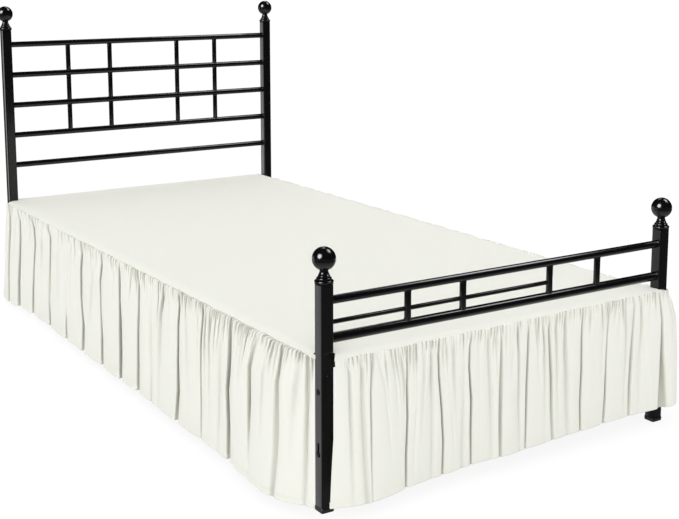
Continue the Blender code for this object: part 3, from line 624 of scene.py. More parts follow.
LEFT_FOLDS = (  # from the head end to the foot end
    Fold((0, 0, -2, -6, -10, -14), (0, 0, 0, 0, 0, 0), (6, 6, 6), 2, 22, 6),
    Fold((22, 46, 58, 54, 58, 70), (4, 12, 15, 15, 16, 22), (6, 6, 8), 3, 33, 7),
    Fold((82, 103, 105, 100, 100, 104), (1, 4, 4, 2, 0, 0), (8, 9, 8), 2, 28, 0),
    Fold((106, 142, 150, 146, 140, 145), (6, 16, 17, 19, 22, 28), (5, 6, 8), 3, 22, 9),
    Fold((213, 236, 232, 212, 205, 205), (2, 5, 3, 1, 0, 0), (8, 8, 8), 2, 14, 0),
    Fold((240, 271, 280, 262, 247, 247), (6, 16, 18, 20, 22, 24), (5, 5.5, 7), 3, 11, 10),
    Fold((335, 350, 350, 345, 335, 330), (0, 4, 7, 2, 0, 0), (12, 12, 8), 2, 12, 0),
    Fold((385, 424, 423, 410, 404, 412), (6, 17, 13, 7, 8, 30), (6, 5, 8), 3, 14, 9),
    Fold((480, 492, 494, 492, 488, 490), (1, 2, 3, 3, 1, 0), (14, 16, 8), 2, 18, 0),
    Fold((540, 552, 556, 558, 560, 572), (0, 0, 0, 0, 3, 28), (5, 5, 8), 3, 22, 5),
    Fold((588, 600, 603, 603, 602, 600), (3, 6, 3, 2, 1, 0), (5, 9, 8), 2, 23, 0),
    Fold((676, 690, 689, 694, 712, 712), (2, 12, 15, 18, 24, 30), (5, 6, 8), 3, 25, 9),
    Fold((765, 778, 780, 772, 765, 765), (0, 2, 4, 5, 1, 0), (10, 12, 8), 2, 26, 0),
    Fold((828, 840, 835, 840, 855, 862), (0, 14, 14, 15, 24, 30), (4, 5, 8), 3, 27, 8),
    Fold((900, 928, 934, 934, 934, 934), (2, 5, 3, 1, 0, 0), (5, 6, 8), 2, 29, 0),
    Fold((955, 965, 977, 985, 994, 1000), (0, 12, 19, 22, 28, 38), (4, 7, 8), 3, 31, 10),
    Fold((1035, 1045, 1050, 1050, 1050, 1050), (3, 4, 1, 0, 0, 0), (4, 5, 5), 2, 31, 0),
    Fold((1076, 1097, 1104, 1105, 1110, 1117), (4, 14, 14, 18, 22, 28), (5, 6, 8), 3, 31, 9),
    Fold((1150, 1165, 1178, 1185, 1195, 1205), (0, 1, 3, 5, 5, 8), (10, 14, 8), 2, 34, 7),
    Fold((1236, 1247, 1243, 1242, 1247, 1252), (2, 9, 7, 6, 4, 3), (6, 12, 8), 2, 37, 9),
    Fold((1262, 1283, 1292, 1295, 1300, 1304), (2, 4, 1, 0, 0, 0), (5, 6, 6), 2, 38, 0),
    Fold((1328, 1344, 1348, 1353, 1364, 1364), (6, 17, 17, 20, 24, 28), (4, 4.5, 8), 3, 39, 9),
    Fold((1380, 1385, 1395, 1410, 1420, 1430), (0, 1, 5, 4, 1, 0), (8, 10, 8), 2, 40, 0),
    Fold((1432, 1443, 1453, 1460, 1466, 1470), (1, 5, 3, 1, 0, 0), (5, 6, 6), 2, 40, 0),
    Fold((1462, 1470, 1474, 1479, 1491, 1500), (2, 12, 12, 7, 9, 10), (3.5, 4, 4), 2.5, 40, 4),
    Fold((1480, 1486, 1493, 1500, 1508, 1515), (3, 8, 8, 3, 0, 0), (4, 5, 5), 2, 41, 0),
    Fold((1506, 1510, 1518, 1529, 1535, 1540), (4, 10, 6, 5, 3, 0), (4, 5, 6), 2, 42, 0),
    Fold((1560, 1563, 1567, 1580, 1587, 1590), (0, 1, 4, 6, 6, 2), (8, 9, 8), 2, 44, 7),
    Fold((1603, 1610, 1621, 1624, 1641, 1654), (7, 12, 15, 18, 22, 28), (5, 5, 8), 3, 47, 12),
    Fold((1652, 1655, 1658, 1660, 1670, 1680), (1, 5, 2, 0, 0, 0), (4, 6, 6), 2, 50, 0),
    Fold((1670, 1673, 1677, 1680, 1690, 1700), (2, 6, 4, 0, 0, 0), (4, 7, 8), 2, 54, 0),
    Fold((1736, 1724, 1722, 1736, 1750, 1762), (3, 8, 11, 14, 7, 0), (8, 6, 5), 2.5, 60, 11),
    Fold((1783, 1781, 1786, 1797, 1805, 1812), (0, 2, 6, 4, 0, 0), (6, 8, 8), 2, 62, 0),
    Fold((1802, 1802, 1806, 1815, 1822, 1830), (6, 7, 1, 0, 0, 0), (4, 5, 5), 2, 63, 0),
    Fold((1838, 1838, 1842, 1858, 1867, 1873), (8, 12, 10, 9, 9, 10), (3.5, 10, 8), 2.5, 62, 11),
    Fold((1900, 1902, 1904, 1906, 1910, 1914), (2, 5, 6, 3, 1, 0), (8, 9, 8), 2, 48, 0),
    Fold((1926, 1934, 1938, 1941, 1944, 1948), (2, 7, 8, 8, 7, 6), (5, 5, 5), 2, 28, 5),
    Fold((1948, 1950, 1952, 1957, 1963, 1969), (0, 0, 0, 0, 0, 0), (5, 5, 5), 2, 18, 0),
)
FOOT_FOLDS = (  # from in front of the front left post, round the front right corner
    Fold((-3, -3, -4, -10, -17, -23), (0, 0, 0, 0, 0, 0), (4.2, 4.2, 4.2), 2, 14, 4),
    Fold((25, 30, 28, 27, 26, 25), (2.5, 6, 6, 5, 4, 2.5), (3.4, 4.2, 5.2), 2, 32, 4),
    Fold((56, 60, 57, 55, 55, 55), (2.5, 7, 5, 5, 5, 6), (3.4, 6.8, 7.6), 2, 37, 4),
    Fold((86, 83, 77, 73, 69, 67), (3, 8, 9, 9, 6, 4.5), (2.2, 2.2, 2.4), 3, 39, 6.5),
    Fold((100, 106, 114, 118, 118, 118), (1, 3, 3, 1, 0, 0), (3.4, 4.2, 4.2), 2, 33, 0),
    Fold((120, 119, 121, 125, 126, 126), (2.5, 6, 2.5, 0, 0, 0), (2.6, 3.4, 3.4), 2, 32, 0),
    Fold((139, 140, 144, 147, 148, 148), (1.5, 5, 2.5, 0, 0, 0), (3, 3.4, 3.4), 2, 29, 0),
    Fold((158, 162, 166, 164, 157, 155), (2.5, 6, 5, 0, 0, 0), (2.6, 2.6, 2.6), 2, 27, 0),
    Fold((177, 175, 173, 172, 165, 162), (3, 7, 9, 12, 13, 14), (1.8, 2.2, 2.8), 3, 26, 5),
    Fold((191, 192, 192, 188, 183, 180), (1.5, 5, 1, 0, 0, 0), (3.4, 3.4, 3.4), 2, 24, 0),
    Fold((203, 200, 197, 196, 192, 190), (1.5, 5, 1.5, 0, 0, 0), (3.4, 3.4, 3.4), 2, 23, 0),
    Fold((222, 220, 218, 212, 206, 202), (1.5, 4, 4, 2.5, 0, 0), (3.4, 6, 6.8), 2, 21, 0),
    Fold((242, 239, 238, 242, 240, 236), (1.5, 6, 6, 3, 4, 3), (3.4, 5.2, 6.8), 2, 18, 4.5),
    Fold((261, 259, 259, 266, 271, 268), (3, 9, 12, 14, 14, 16), (2.2, 2.2, 2.8), 3, 15, 4),
    Fold((272, 271, 274, 280, 285, 282), (1.5, 5, 1, 0, 0, 0), (3, 3.4, 3.4), 2, 14, 0),
    Fold((284, 281, 283, 288, 292, 290), (2.5, 6, 1.5, 0, 0, 0), (3, 3.4, 3.4), 2, 14, 0),
    Fold((305, 301, 301, 305, 304, 302), (2.5, 6, 5, 2.5, 0, 0), (4.2, 6.8, 6.8), 2, 13, 0),
    Fold((335, 333, 331, 330, 327, 325), (1, 1, 1, 2.5, 4, 4), (5.2, 6, 6.8), 2, 12, 3),
    Fold((354, 345, 343, 350, 350, 351), (4.5, 9, 12, 14, 14, 14), (2.4, 2.8, 2.8), 3, 11, 5),
    Fold((376, 371, 370, 374, 374, 374), (1, 2.5, 1.5, 0, 0, 0), (5.2, 5.2, 5.2), 2, 10, 0),
    Fold((402, 399, 400, 407, 409, 410), (3, 6, 5, 4, 3, 2.5), (4.2, 6.8, 7.6), 2, 13, 4),
    Fold((424, 421, 422, 424, 424, 424), (1.5, 6, 2.5, 0, 0, 0), (3.4, 4.2, 4.2), 2, 15, 0),
    Fold((438, 436, 434, 433, 432, 432), (3, 6, 8, 9, 12, 12), (2.4, 5, 4), 3, 17, 4.5),
    Fold((453, 450, 450, 448, 447, 447), (3, 4, 0, 0, 0, 0), (3.4, 3.4, 3.4), 2, 17, 0),
    Fold((487, 485, 486, 488, 489, 491), (4.5, 8, 6, 5, 4.5, 3), (2.4, 4, 4.4), 2.5, 15, 2.5),
    Fold((519, 516, 513, 511, 510, 508), (2, 8, 11, 13, 14, 14), (2.8, 2.8, 2.4), 3, 14, 5),
    Fold((541, 540, 543, 547, 547, 547), (2.5, 6, 3, 1, 0, 0), (3.4, 4.2, 5.2), 2, 14, 0),
    Fold((561, 560, 562, 566, 567, 567), (2.5, 6, 6, 4, 2.5, 1), (3.4, 4.2, 5.2), 2, 14, 0),
    Fold((584, 578, 580, 586, 588, 593), (3, 8, 9, 10, 9, 9), (2.4, 3.4, 4.4), 2.5, 14, 2.5),
    Fold((601, 599, 601, 605, 607, 610), (3, 7, 6, 4, 2.5, 1), (3.4, 4.2, 5.2), 2, 14, 0),
    Fold((632, 628, 628, 634, 637, 641), (6, 8, 7, 6, 5, 4), (3.4, 7.6, 8.4), 2, 13, 4.5),
    Fold((688, 682, 680, 682, 680, 682), (3, 9, 12, 13, 13, 14), (2.2, 2.8, 2.8), 3, 12, 4.5),
    Fold((713, 708, 706, 706, 706, 706), (2.5, 6, 1, 0, 0, 0), (3.4, 3.4, 3.4), 2, 12, 0),
    Fold((749, 749, 750, 748, 746, 744), (3, 5, 3, 1.5, 0, 0), (3.4, 4.2, 5.2), 2, 11, 0),
    Fold((777, 770, 766, 763, 763, 758), (5, 6, 6, 11, 13, 13), (1.8, 1.8, 3.8), 3, 11, 6),
    Fold((812, 806, 802, 800, 798, 798), (2.5, 4, 1.5, 0, 0, 0), (3.4, 5.2, 5.2), 2, 11, 0),
    Fold((826, 825, 827, 828, 826, 825), (4, 6, 6, 4, 2.5, 1.5), (3.4, 5.2, 5.2), 2, 11, 0),
    Fold((857, 854, 851, 847, 845, 845), (3.5, 6, 6, 9, 11, 9), (2.4, 3.8, 4.4), 2.5, 11, 3),
    Fold((880, 879, 880, 878, 877, 876), (4, 7, 6, 3, 3, 1.5), (3.4, 6.8, 6.8), 2, 11, 0),
    Fold((912, 906, 904, 904, 904, 904), (2.5, 3, 1, 0, 0, 0), (3.4, 4.2, 4.2), 2, 12, 0),
    Fold((941, 942, 944, 947, 950, 950), (3.5, 7, 8, 13, 17, 22), (2.2, 3.4, 9), 3, 13, 4.5),
    Fold((972, 970, 970, 971, 972, 973), (2.5, 4, 2.5, 1, 0, 0), (4.2, 5.2, 6.8), 2, 20, 0),
    Fold((995, 996, 997, 998, 998, 999), (1.5, 2, 1, 0, 0, 0), (3.4, 4.2, 5.2), 2, 26, 0),
    Fold((1025, 1025, 1025, 1024, 1024, 1023), (0, 0, 0, 0, 0, 0), (3.4, 3.4, 3.4), 2, 29, 0),
)
RIGHT_FOLDS = (  # from the front right corner to the head end
    Fold((0, 0, 0, -1, -1, -1.5), (0, 0, 0, 0, 0, 0), (5, 5, 5), 2, 29, 4),
    Fold((62, 60, 58, 58, 57, 58), (5, 12, 14, 16, 17, 19), (4, 5, 7), 3, 40, 8),
    Fold((118, 114, 112, 110, 108, 106), (2, 6, 4, 2, 1, 0), (6, 9, 9), 2, 42, 0),
    Fold((178, 172, 169, 166, 165, 166), (6, 15, 17, 19, 22, 26), (4.5, 5.5, 10), 3, 44, 9),
    Fold((236, 232, 230, 230, 234, 238), (1, 5, 6, 4, 3, 3), (8, 12, 12), 2, 41, 0),
    Fold((292, 290, 292, 296, 300, 300), (4, 13, 15, 17, 19, 20), (4, 5, 6), 3, 38, 8),
    Fold((340, 341, 342, 344, 344, 345), (3, 6, 3, 1, 0, 0), (5, 6, 7), 2, 35, 0),
    Fold((389, 386, 385, 388, 391, 392), (4, 9, 8, 7, 6, 6), (5, 8, 10), 2, 33, 6),
    Fold((470, 466, 462, 460, 461, 463), (6, 16, 18, 20, 22, 27), (4.5, 5.5, 11), 3, 35, 10),
    Fold((531, 534, 536, 537, 536, 535), (2, 5, 6, 5, 3, 1), (9, 12, 12), 2, 33, 0),
    Fold((604, 600, 596, 594, 595, 596), (5, 14, 16, 17, 18, 19), (4, 5, 6), 3, 31, 8),
    Fold((655, 657, 660, 662, 662, 663), (2, 7, 4, 2, 1, 0), (5, 7, 8), 2, 29, 0),
    Fold((712, 714, 717, 720, 721, 722), (4, 10, 10, 9, 8, 8), (5, 7, 9), 2.5, 28, 7),
    Fold((801, 799, 798, 800, 804, 806), (6, 15, 17, 20, 23, 28), (4.5, 5.5, 12), 3, 30, 10),
    Fold((868, 866, 866, 868, 868, 868), (2, 6, 7, 5, 3, 2), (8, 12, 12), 2, 28, 0),
    Fold((940, 936, 932, 928, 927, 928), (5, 14, 15, 17, 18, 20), (4, 5, 7), 3, 26, 9),
    Fold((1001, 1003, 1004, 1004, 1005, 1005), (2, 6, 4, 3, 2, 1), (6, 8, 9), 2, 25, 0),
    Fold((1058, 1059, 1062, 1064, 1066, 1066), (4, 9, 8, 6, 5, 4), (5, 7, 9), 2, 24, 6),
    Fold((1139, 1138, 1136, 1136, 1138, 1140), (6, 16, 18, 20, 22, 26), (4.5, 5, 10), 3, 27, 10),
    Fold((1207, 1204, 1203, 1203, 1202, 1200), (2, 5, 6, 5, 3, 3), (9, 12, 13), 2, 25, 0),
    Fold((1276, 1272, 1268, 1264, 1262, 1262), (5, 14, 16, 17, 18, 18), (4, 5, 6), 3, 24, 9),
    Fold((1335, 1334, 1333, 1332, 1331, 1330), (3, 7, 5, 3, 1, 0), (5, 7, 8), 2, 22, 0),
    Fold((1394, 1395, 1397, 1399, 1400, 1401), (4, 9, 9, 8, 7, 7), (5, 7, 8), 2.5, 21, 7),
    Fold((1492, 1490, 1487, 1486, 1488, 1490), (6, 16, 17, 19, 22, 27), (4.5, 5.5, 11), 3, 24, 10),
    Fold((1562, 1560, 1558, 1556, 1555, 1554), (2, 6, 6, 4, 2, 1), (8, 11, 12), 2, 22, 0),
    Fold((1631, 1629, 1625, 1621, 1620, 1620), (5, 13, 15, 17, 18, 20), (4, 5, 7), 3, 21, 8),
    Fold((1690, 1689, 1688, 1688, 1687, 1686), (3, 7, 5, 3, 2, 1), (5, 7, 8), 2, 22, 0),
    Fold((1742, 1743, 1745, 1748, 1750, 1750), (4, 9, 9, 8, 8, 9), (5, 7, 8), 2.5, 24, 6),
    Fold((1835, 1833, 1831, 1830, 1831, 1832), (5, 14, 15, 16, 18, 21), (4, 5, 8), 3, 28, 7),
    Fold((1889, 1891, 1893, 1894, 1895, 1896), (3, 6, 5, 4, 3, 3), (5, 7, 7), 2, 26, 0),
    Fold((1921, 1924, 1926, 1928, 1929, 1930), (0, 0, 0, 0, 0, 0), (5, 5, 5), 2, 24, 0),
)

# Where the panels are gathered, one row for each stretch of the seam, in millimetres: how close the
# puckers sit, how deep and how long they are, and how far the cloth puffs out over them.
Gather = namedtuple("Gather", "start end spacing deep long puff")
LEFT_GATHERS = (
    Gather(0, 180, 16, 4.0, 24, 5),
    Gather(180, 560, 16, 4.4, 24, 7),
    Gather(560, 900, 14, 5.2, 26, 9),
    Gather(900, 1290, 12, 5.8, 28, 11),
    Gather(1290, 1560, 10, 6.2, 28, 13),
    Gather(1560, 1790, 11, 6.4, 34, 15),
    Gather(1790, 1935, 10, 6.2, 30, 15),
    Gather(1935, 1948, 9, 4.0, 16, 2),
)
FOOT_GATHERS = (
    Gather(-3, 12, 7, 2.0, 12, 3),
    Gather(12, 130, 8, 4.2, 18, 7),
    Gather(130, 330, 8, 4.4, 26, 8),
    Gather(330, 700, 8, 4.2, 24, 8),
    Gather(700, 880, 9, 4.2, 24, 8),
    Gather(880, 980, 8, 4.4, 22, 8),
    Gather(980, 1034, 10, 2.5, 24, 2),
)
RIGHT_GATHERS = (
    Gather(0, 60, 10, 2.5, 20, 2),
    Gather(60, 500, 10, 5.0, 28, 10),
    Gather(500, 1200, 12, 5.0, 28, 10),
    Gather(1200, 1922, 11, 5.0, 30, 9),
)

# ---------------------------------------------------------------- the drops
# The gathered head of a drop: it comes out of the seam and turns over. Each row gives the share of the
# way down, the share of the puff that it stands out, its height above the seam in millimetres, and the
# way that a pinch pulls it there, inward and down.
Turn = namedtuple("Turn", "down out up inward sink")
HEAD = (
    Turn(0.000, 0.00, 0.0, 0.00, 0.00),
    Turn(0.004, 0.11, 1.1, 0.00, 0.90),
    Turn(0.008, 0.25, 2.6, 0.05, 1.00),
    Turn(0.012, 0.42, 3.5, 0.15, 1.00),
    Turn(0.016, 0.60, 3.5, 0.35, 0.95),
    Turn(0.020, 0.77, 2.2, 0.60, 0.80),
    Turn(0.024, 0.90, -0.7, 0.85, 0.50),
    Turn(0.029, 0.98, -5.0, 1.00, 0.20),
    Turn(0.036, 1.00, -11.3, 1.00, 0.00),
)


def head_column(down, name):
    """One of the columns of HEAD, read at shares of the way down."""
    return np.interp(down, [turn.down for turn in HEAD], [getattr(turn, name) for turn in HEAD])


BILLOW_POWER = 0.75  # below 1 the billows are broad and full
VALLEY_SHARE = 0.5  # part of a billow's rise that goes inward at the folds
CLOSING = ((0.0, 0.5, 0.8, 1.0), (1.0, 1.0, 0.65, 0.33))  # how the folds close up towards the hem
HEM_DEEP = 12.0 * MM  # the hem is turned up by this much
FOLD_DARK = 11.0 * MM  # a fold this deep gets the full painted shade
PINCH_DARK = 5.5 * MM  # and a pucker this deep gets it too
SWELL = 16.0 * MM  # how far the cloth swells out round the front right corner
SWELL_REACH = 60.0 * MM  # along the seam
SWELL_LEVELS = ((0.0, 0.10, 0.24, 0.48, 1.0), (0.0, 0.52, 0.9, 0.85, 0.65))  # its share on the way down


def drop_rows():
    """Shares of the way down at which a drop has mesh rows: close at the seam and at the hem."""
    head = [turn.down for turn in HEAD]
    upper = np.linspace(HEAD[-1].down, 0.27, 22)[1:-1]
    lower = np.linspace(0.27, 0.96, 27)[:-1]
    hem = np.linspace(0.96, 1.0, 5)
    return np.concatenate((head, upper, lower, hem))


def drop_columns(folds, step):
    """Distances along the seam at which a drop has mesh columns."""
    first, last = folds[0].at[0] * MM, folds[-1].at[0] * MM
    return np.linspace(first, last, math.ceil((last - first) / step) + 1)


def smooth(share):
    """A smooth step from 0 to 1."""
    share = np.clip(share, 0.0, 1.0)
    return share * share * (3 - 2 * share)


def fold_places(folds, at, down):
    """The fold before each column, each fold's place at the seam, and its place at each row."""
    tops = np.array([f.at[0] for f in folds]) * MM
    i = np.clip(np.searchsorted(tops, at, side="right") - 1, 0, len(folds) - 2)
    places = np.array([np.interp(down, STATIONS, f.at) for f in folds]) * MM
    return i, tops, places


def spread_columns(folds, at, down):
    """Where each column lies along the seam at each row, and its flare at the hem."""
    i, tops, places = fold_places(folds, at, down)
    share = (at - tops[i]) / (tops[i + 1] - tops[i])
    along = places[i].T * (1 - share) + places[i + 1].T * share
    flares = np.array([f.flare for f in folds]) * MM
    return along, flares[i] * (1 - share) + flares[i + 1] * share


def grown(down, *levels):
    """How much of something has grown at each share of the way down."""
    return np.interp(down, (0.0, 0.03, 0.09, 0.24, 0.48, 0.75, 1.0), levels)[:, None]


def billow_relief(folds, along, at, down):
    """Soft billows between the folds that have a rise."""
    ends = [f for f in folds[:-1] if f.rise > 0] + [folds[-1]]
    i, _tops, places = fold_places(ends, at, down)
    first, last = places[i].T, places[i + 1].T
    share = np.clip((along - first) / (last - first), 0.0, 1.0)
    rise = np.array([f.rise for f in ends])[i] * MM
    billow = np.sin(math.pi * share) ** BILLOW_POWER - VALLEY_SHARE
    return grown(down, 0.0, 0.10, 0.35, 0.60, 0.72, 0.60, 0.38) * rise * billow


def fold_depth(folds, along, down):
    """How far the folds take the cloth inward at each point."""
    trough = np.zeros_like(along)
    for fold in folds:
        deep = np.interp(down, STATIONS, fold.deep) * np.interp(down, *CLOSING) * MM
        deep *= smooth(down / 0.05) * 0.75 + 0.25 * (down > 0)
        if not deep.any():
            continue
        place = np.interp(down, STATIONS, fold.at) * MM
        half = np.interp(down, (0.0, 0.5, 1.0), fold.wide) * MM
        away = np.abs(along - place[:, None]) / half[:, None]
        trough = np.maximum(trough, deep[:, None] * np.exp(-(0.95 * away) ** fold.edge))
    return trough


def gather_relief(gathers, along, at, down, tall, draw):
    """Short puckers that run down from the seam, and the puff of the cloth over them."""
    starts = np.array([(g.start + g.end) / 2 for g in gathers]) * MM
    puff = np.interp(at, starts, [g.puff for g in gathers]) * MM
    over = head_column(down, "out")
    level = np.interp(down, (0.0, 0.24, 0.48, 0.75, 1.0), (1.0, 1.0, 0.7, 0.4, 0.2))
    relief = (over * level)[:, None] * puff[None, :]
    pinch = np.zeros_like(relief)
    for g in gathers:
        here = g.start * MM
        while here < g.end * MM:
            here += g.spacing * MM * draw.uniform(0.6, 1.45)
            half = g.spacing * MM * draw.uniform(0.20, 0.34)
            deep = g.deep * MM * draw.uniform(0.4, 1.5)
            long = g.long * MM * draw.choice((0.5, 0.7, 0.8, 1.0, 1.0, 1.6, 2.6)) * draw.uniform(0.8, 1.2)
            lean = draw.uniform(-0.08, 0.08)
            depth = down * tall
            fade = np.exp(-(depth / long) ** 2)
            near = np.abs(at - here) < 6 * half + 12 * MM
            away = (at[None, near] - here - lean * depth[:, None]) / half
            pinch[:, near] = np.maximum(pinch[:, near], deep * fade[:, None] * np.exp(-np.abs(away) ** 1.5))
    return relief, pinch


def corner_swell(seam, down):
    """How far the cloth swells out where it wraps the front right corner."""
    away = np.hypot(seam[:, 0] - FOOT_RIGHT.x, seam[:, 1] - FOOT_RIGHT.y)
    level = np.interp(down, *SWELL_LEVELS)
    return SWELL * level[:, None] * np.exp(-(away / SWELL_REACH) ** 2)


def ripple_relief(at, down, tall, draw, count):
    """Long soft ripples, a millimetre or two high, that break up the billows."""
    relief = np.zeros((len(down), len(at)))
    length = at[-1] - at[0]
    for _ in range(count):
        centre = at[0] + draw.uniform(0.0, 1.0) * length
        half = draw.uniform(4.0, 15.0) * MM
        high = draw.uniform(-2.2, 1.4) * MM
        top = draw.uniform(-0.3, 0.6)
        long = draw.uniform(0.25, 0.8)
        lean = draw.uniform(-0.07, 0.07)
        sway = draw.uniform(0.0, 2 * math.pi)
        fade = smooth((down - top) / 0.15) * smooth((top + long - down) / 0.2) * smooth(down / 0.12)
        fade *= 0.35 + 0.65 * smooth((1.0 - down) / 0.3)
        line = centre + (lean * down + 0.012 * np.sin(3.2 * down + sway)) * tall
        away = (at[None, :] - line[:, None]) / half
        relief += high * fade[:, None] * np.exp(-away ** 2)
    return relief


def build_drop(name, node, path, folds, gathers, hems, seed, step, lean, painted_shade):
    """A gathered panel: one sheet from the seam to the hem, with its hem turned up behind.

    The folds lean along the seam by lean times their depth, so that one side laps over the other.
    painted_shade is how strongly shade is painted into the cloth's colour in them.
    """
    draw = random.Random(seed)
    at = drop_columns(folds, step)
    down = drop_rows()
    tall = DECK_TOP - sum(hems) / 2
    along, flare = spread_columns(folds, at, down)
    trough = fold_depth(folds, along, down)
    puff, pinch = gather_relief(gathers, along, at, down, tall, draw)
    reach = grown(down, 0.0, 0.02, 0.10, 0.28, 0.52, 0.77, 1.0) * flare
    reach += billow_relief(folds, along, at, down) - trough
    reach += puff - pinch * head_column(down, "inward")[:, None]
    reach += ripple_relief(at, down, tall, draw, int((at[-1] - at[0]) / (11 * MM)))
    along = along + lean * (trough + pinch)
    seam, _out = path.read(at)
    reach += corner_swell(seam, down)
    top = deck_height(seam[:, 0], seam[:, 1]) - 0.4 * MM
    low = hems[0] + (hems[1] - hems[0]) * np.clip(at / path.length, 0, 1)
    low = low + 1.5 * MM * np.sin(at * 21.0 + seed) * np.sin(at * 8.3)
    height = top[None, :] + (low - top)[None, :] * down[:, None]
    head = down < HEAD[-1].down
    height[head] = top[None, :] + head_column(down, "up")[head, None] * MM
    height -= pinch * head_column(down, "sink")[:, None]
    spot, out = path.read(along)
    spot = spot + out * reach[..., None]
    points = np.concatenate((spot, height[..., None]), axis=-1)
    hem_points = turned_hem(points[-1], out[-1])
    points = np.concatenate((points, hem_points), axis=0)
    made = sheet_mesh(name, points, down, tall)
    closed = np.interp(down, *CLOSING)[:, None]
    # painted shade: how far the cloth's colour is darkened at each point, from how deep its fold or pucker
    # is
    fold = painted_shade * np.maximum(smooth(trough / closed / FOLD_DARK), smooth(pinch / PINCH_DARK))
    fold = np.concatenate((fold, np.repeat(fold[-1:], len(hem_points), axis=0)))
    paint_fold_shade(made, fold)
    return new_piece(name, made, "ivory_cloth", node)


def paint_fold_shade(mesh, shares):
    """Stores the painted shade of the folds at each point, which darkens the cloth's colour in its
    material.
    """
    layer = mesh.attributes.new("fold", "FLOAT", "POINT")
    layer.data.foreach_set("value", np.clip(shares, 0, 1).astype(np.float32).ravel())


def turned_hem(edge, out):
    """Rows that carry the cloth round under the hem and up behind it."""
    thick = 1.3 * MM
    rows = []
    for inward, up in ((0.35, -0.35), (0.9, -0.1), (1.0, 0.6)):
        row = edge.copy()
        row[:, :2] -= out * thick * inward
        row[:, 2] += thick * up
        rows.append(row)
    last = rows[-1].copy()
    last[:, 2] += HEM_DEEP
    return np.array([*rows, last])


def sheet_mesh(name, points, down, tall):
    """A sheet from rows of points, with its cut laid out in its UV map."""
    rows, count = points.shape[:2]
    co = points.reshape(-1, 3) + np.array(MIDDLE)
    index = np.arange(rows * count).reshape(rows, count)
    quads = np.stack((index[:-1, :-1], index[1:, :-1], index[1:, 1:], index[:-1, 1:]), axis=-1)
    quads = quads.reshape(-1, 4)
    mesh = bpy.data.meshes.new(name)
    mesh.from_pydata(co.tolist(), [], quads.tolist())
    widths = np.linalg.norm(np.diff(points[len(down) - 1], axis=0), axis=1)
    across = np.concatenate(([0.0], np.cumsum(widths)))
    depths = np.concatenate((down * tall, tall + HEM_DEEP * np.linspace(0.1, 1.0, rows - len(down))))
    cut = np.stack(np.broadcast_arrays(across[None, :], -depths[:, None]), axis=-1).reshape(-1, 2)
    layer = mesh.uv_layers.new(name="cut")
    corners = np.zeros(len(mesh.loops), dtype=np.int64)
    mesh.loops.foreach_get("vertex_index", corners)
    layer.data.foreach_set("uv", cut[corners].astype(np.float32).ravel())
    mesh.shade_smooth()
    mesh.update()
    return mesh


# ---------------------------------------------------------------- the deck
def deck_relief(x, y):
    """How far the deck sags between the slats and waves near its seams."""
    slat_spacing = 0.249
    sag = 0.9 * MM * (1 - np.cos(2 * math.pi * (y + HALF_ALONG) / slat_spacing)) / 2
    inner = np.minimum(SEAM_X - np.abs(x), y - foot_seam_y(x))
    calm = smooth((inner - 0.02) / 0.06)
    wave = 0.5 * MM * np.sin(9.0 * x + 4.0 * y + 1.0) * np.sin(5.0 * y - 3.0 * x)
    return calm * (wave - sag)


def deck_puckers(x, y):
    """Small dimples where the gathers pull at the deck's edge."""
    left = np.exp(-((SEAM_X + x) / 0.012)) * np.sin(y * 560.0 + 2.0 * np.sin(y * 71.0))
    foot = np.exp(-((y - foot_seam_y(x)) / 0.010)) * np.sin(x * 640.0 + 2.0 * np.sin(x * 83.0))
    right = np.exp(-((SEAM_X - x) / 0.012)) * np.sin(y * 590.0 + 2.0 * np.sin(y * 67.0))
    return 0.35 * MM * (left + foot + right)


SLIT_FLAP = 13.0 * MM  # how far the deck's end runs back on its way from the left seam to the post


def deck_outline():
    """The deck's cut: its head corners out, a slit at the front left and a slot at the front right."""
    left_x, right_x = -HALF_ACROSS, HALF_ACROSS
    first_x = FOOT_LEFT.x + FOOT_FOLDS[0].at[0] * MM  # where the foot drop starts
    outline = list(FOOT_PATH_POINTS)
    outline += [
        Vector((SEAM_X, SIDE_SEAM_HEAD)),
        Vector((right_x - NOTCH, SIDE_SEAM_HEAD)),
        Vector((right_x - NOTCH, HEAD_EDGE_Y)),
        Vector((left_x + NOTCH, HEAD_EDGE_Y)),
        Vector((left_x + NOTCH, SIDE_SEAM_HEAD)),
        Vector((-SEAM_X, SIDE_SEAM_HEAD)),
        Vector((-SEAM_X, LEFT_SEAM_FOOT)),
        Vector((left_x - NOTCH, LEFT_SEAM_FOOT + SLIT_FLAP)),
        Vector((left_x - NOTCH, -HALF_ALONG + NOTCH)),
        Vector((left_x + NOTCH, -HALF_ALONG + NOTCH)),
        Vector((left_x + NOTCH, -HALF_ALONG - NOTCH)),
        Vector((first_x, FOOT_LEFT.y)),
    ]
    slot = [
        Vector((right_x + i * NOTCH, -HALF_ALONG + j * NOTCH))
        for i, j in ((-1, -1), (1, -1), (1, 1), (-1, 1))
    ]
    return outline, slot


def subdivided(loop, step):
    """A closed outline with points no further apart than step."""
    points = []
    for a, b in zip(loop, [*loop[1:], loop[0]]):
        parts = max(1, math.ceil((b - a).length / step))
        points += [a.lerp(b, k / parts) for k in range(parts)]
    return points


def inside_margin(points, loop, margin):
    """Which points lie more than margin from every edge of an outline."""
    clear = np.ones(len(points), dtype=bool)
    for a, b in zip(loop, [*loop[1:], loop[0]]):
        a, b = np.array(a), np.array(b)
        way = b - a
        long = way @ way
        t = np.clip(((points - a) @ way) / long, 0.0, 1.0)
        clear &= np.linalg.norm(points - a - t[:, None] * way, axis=1) > margin
    return clear


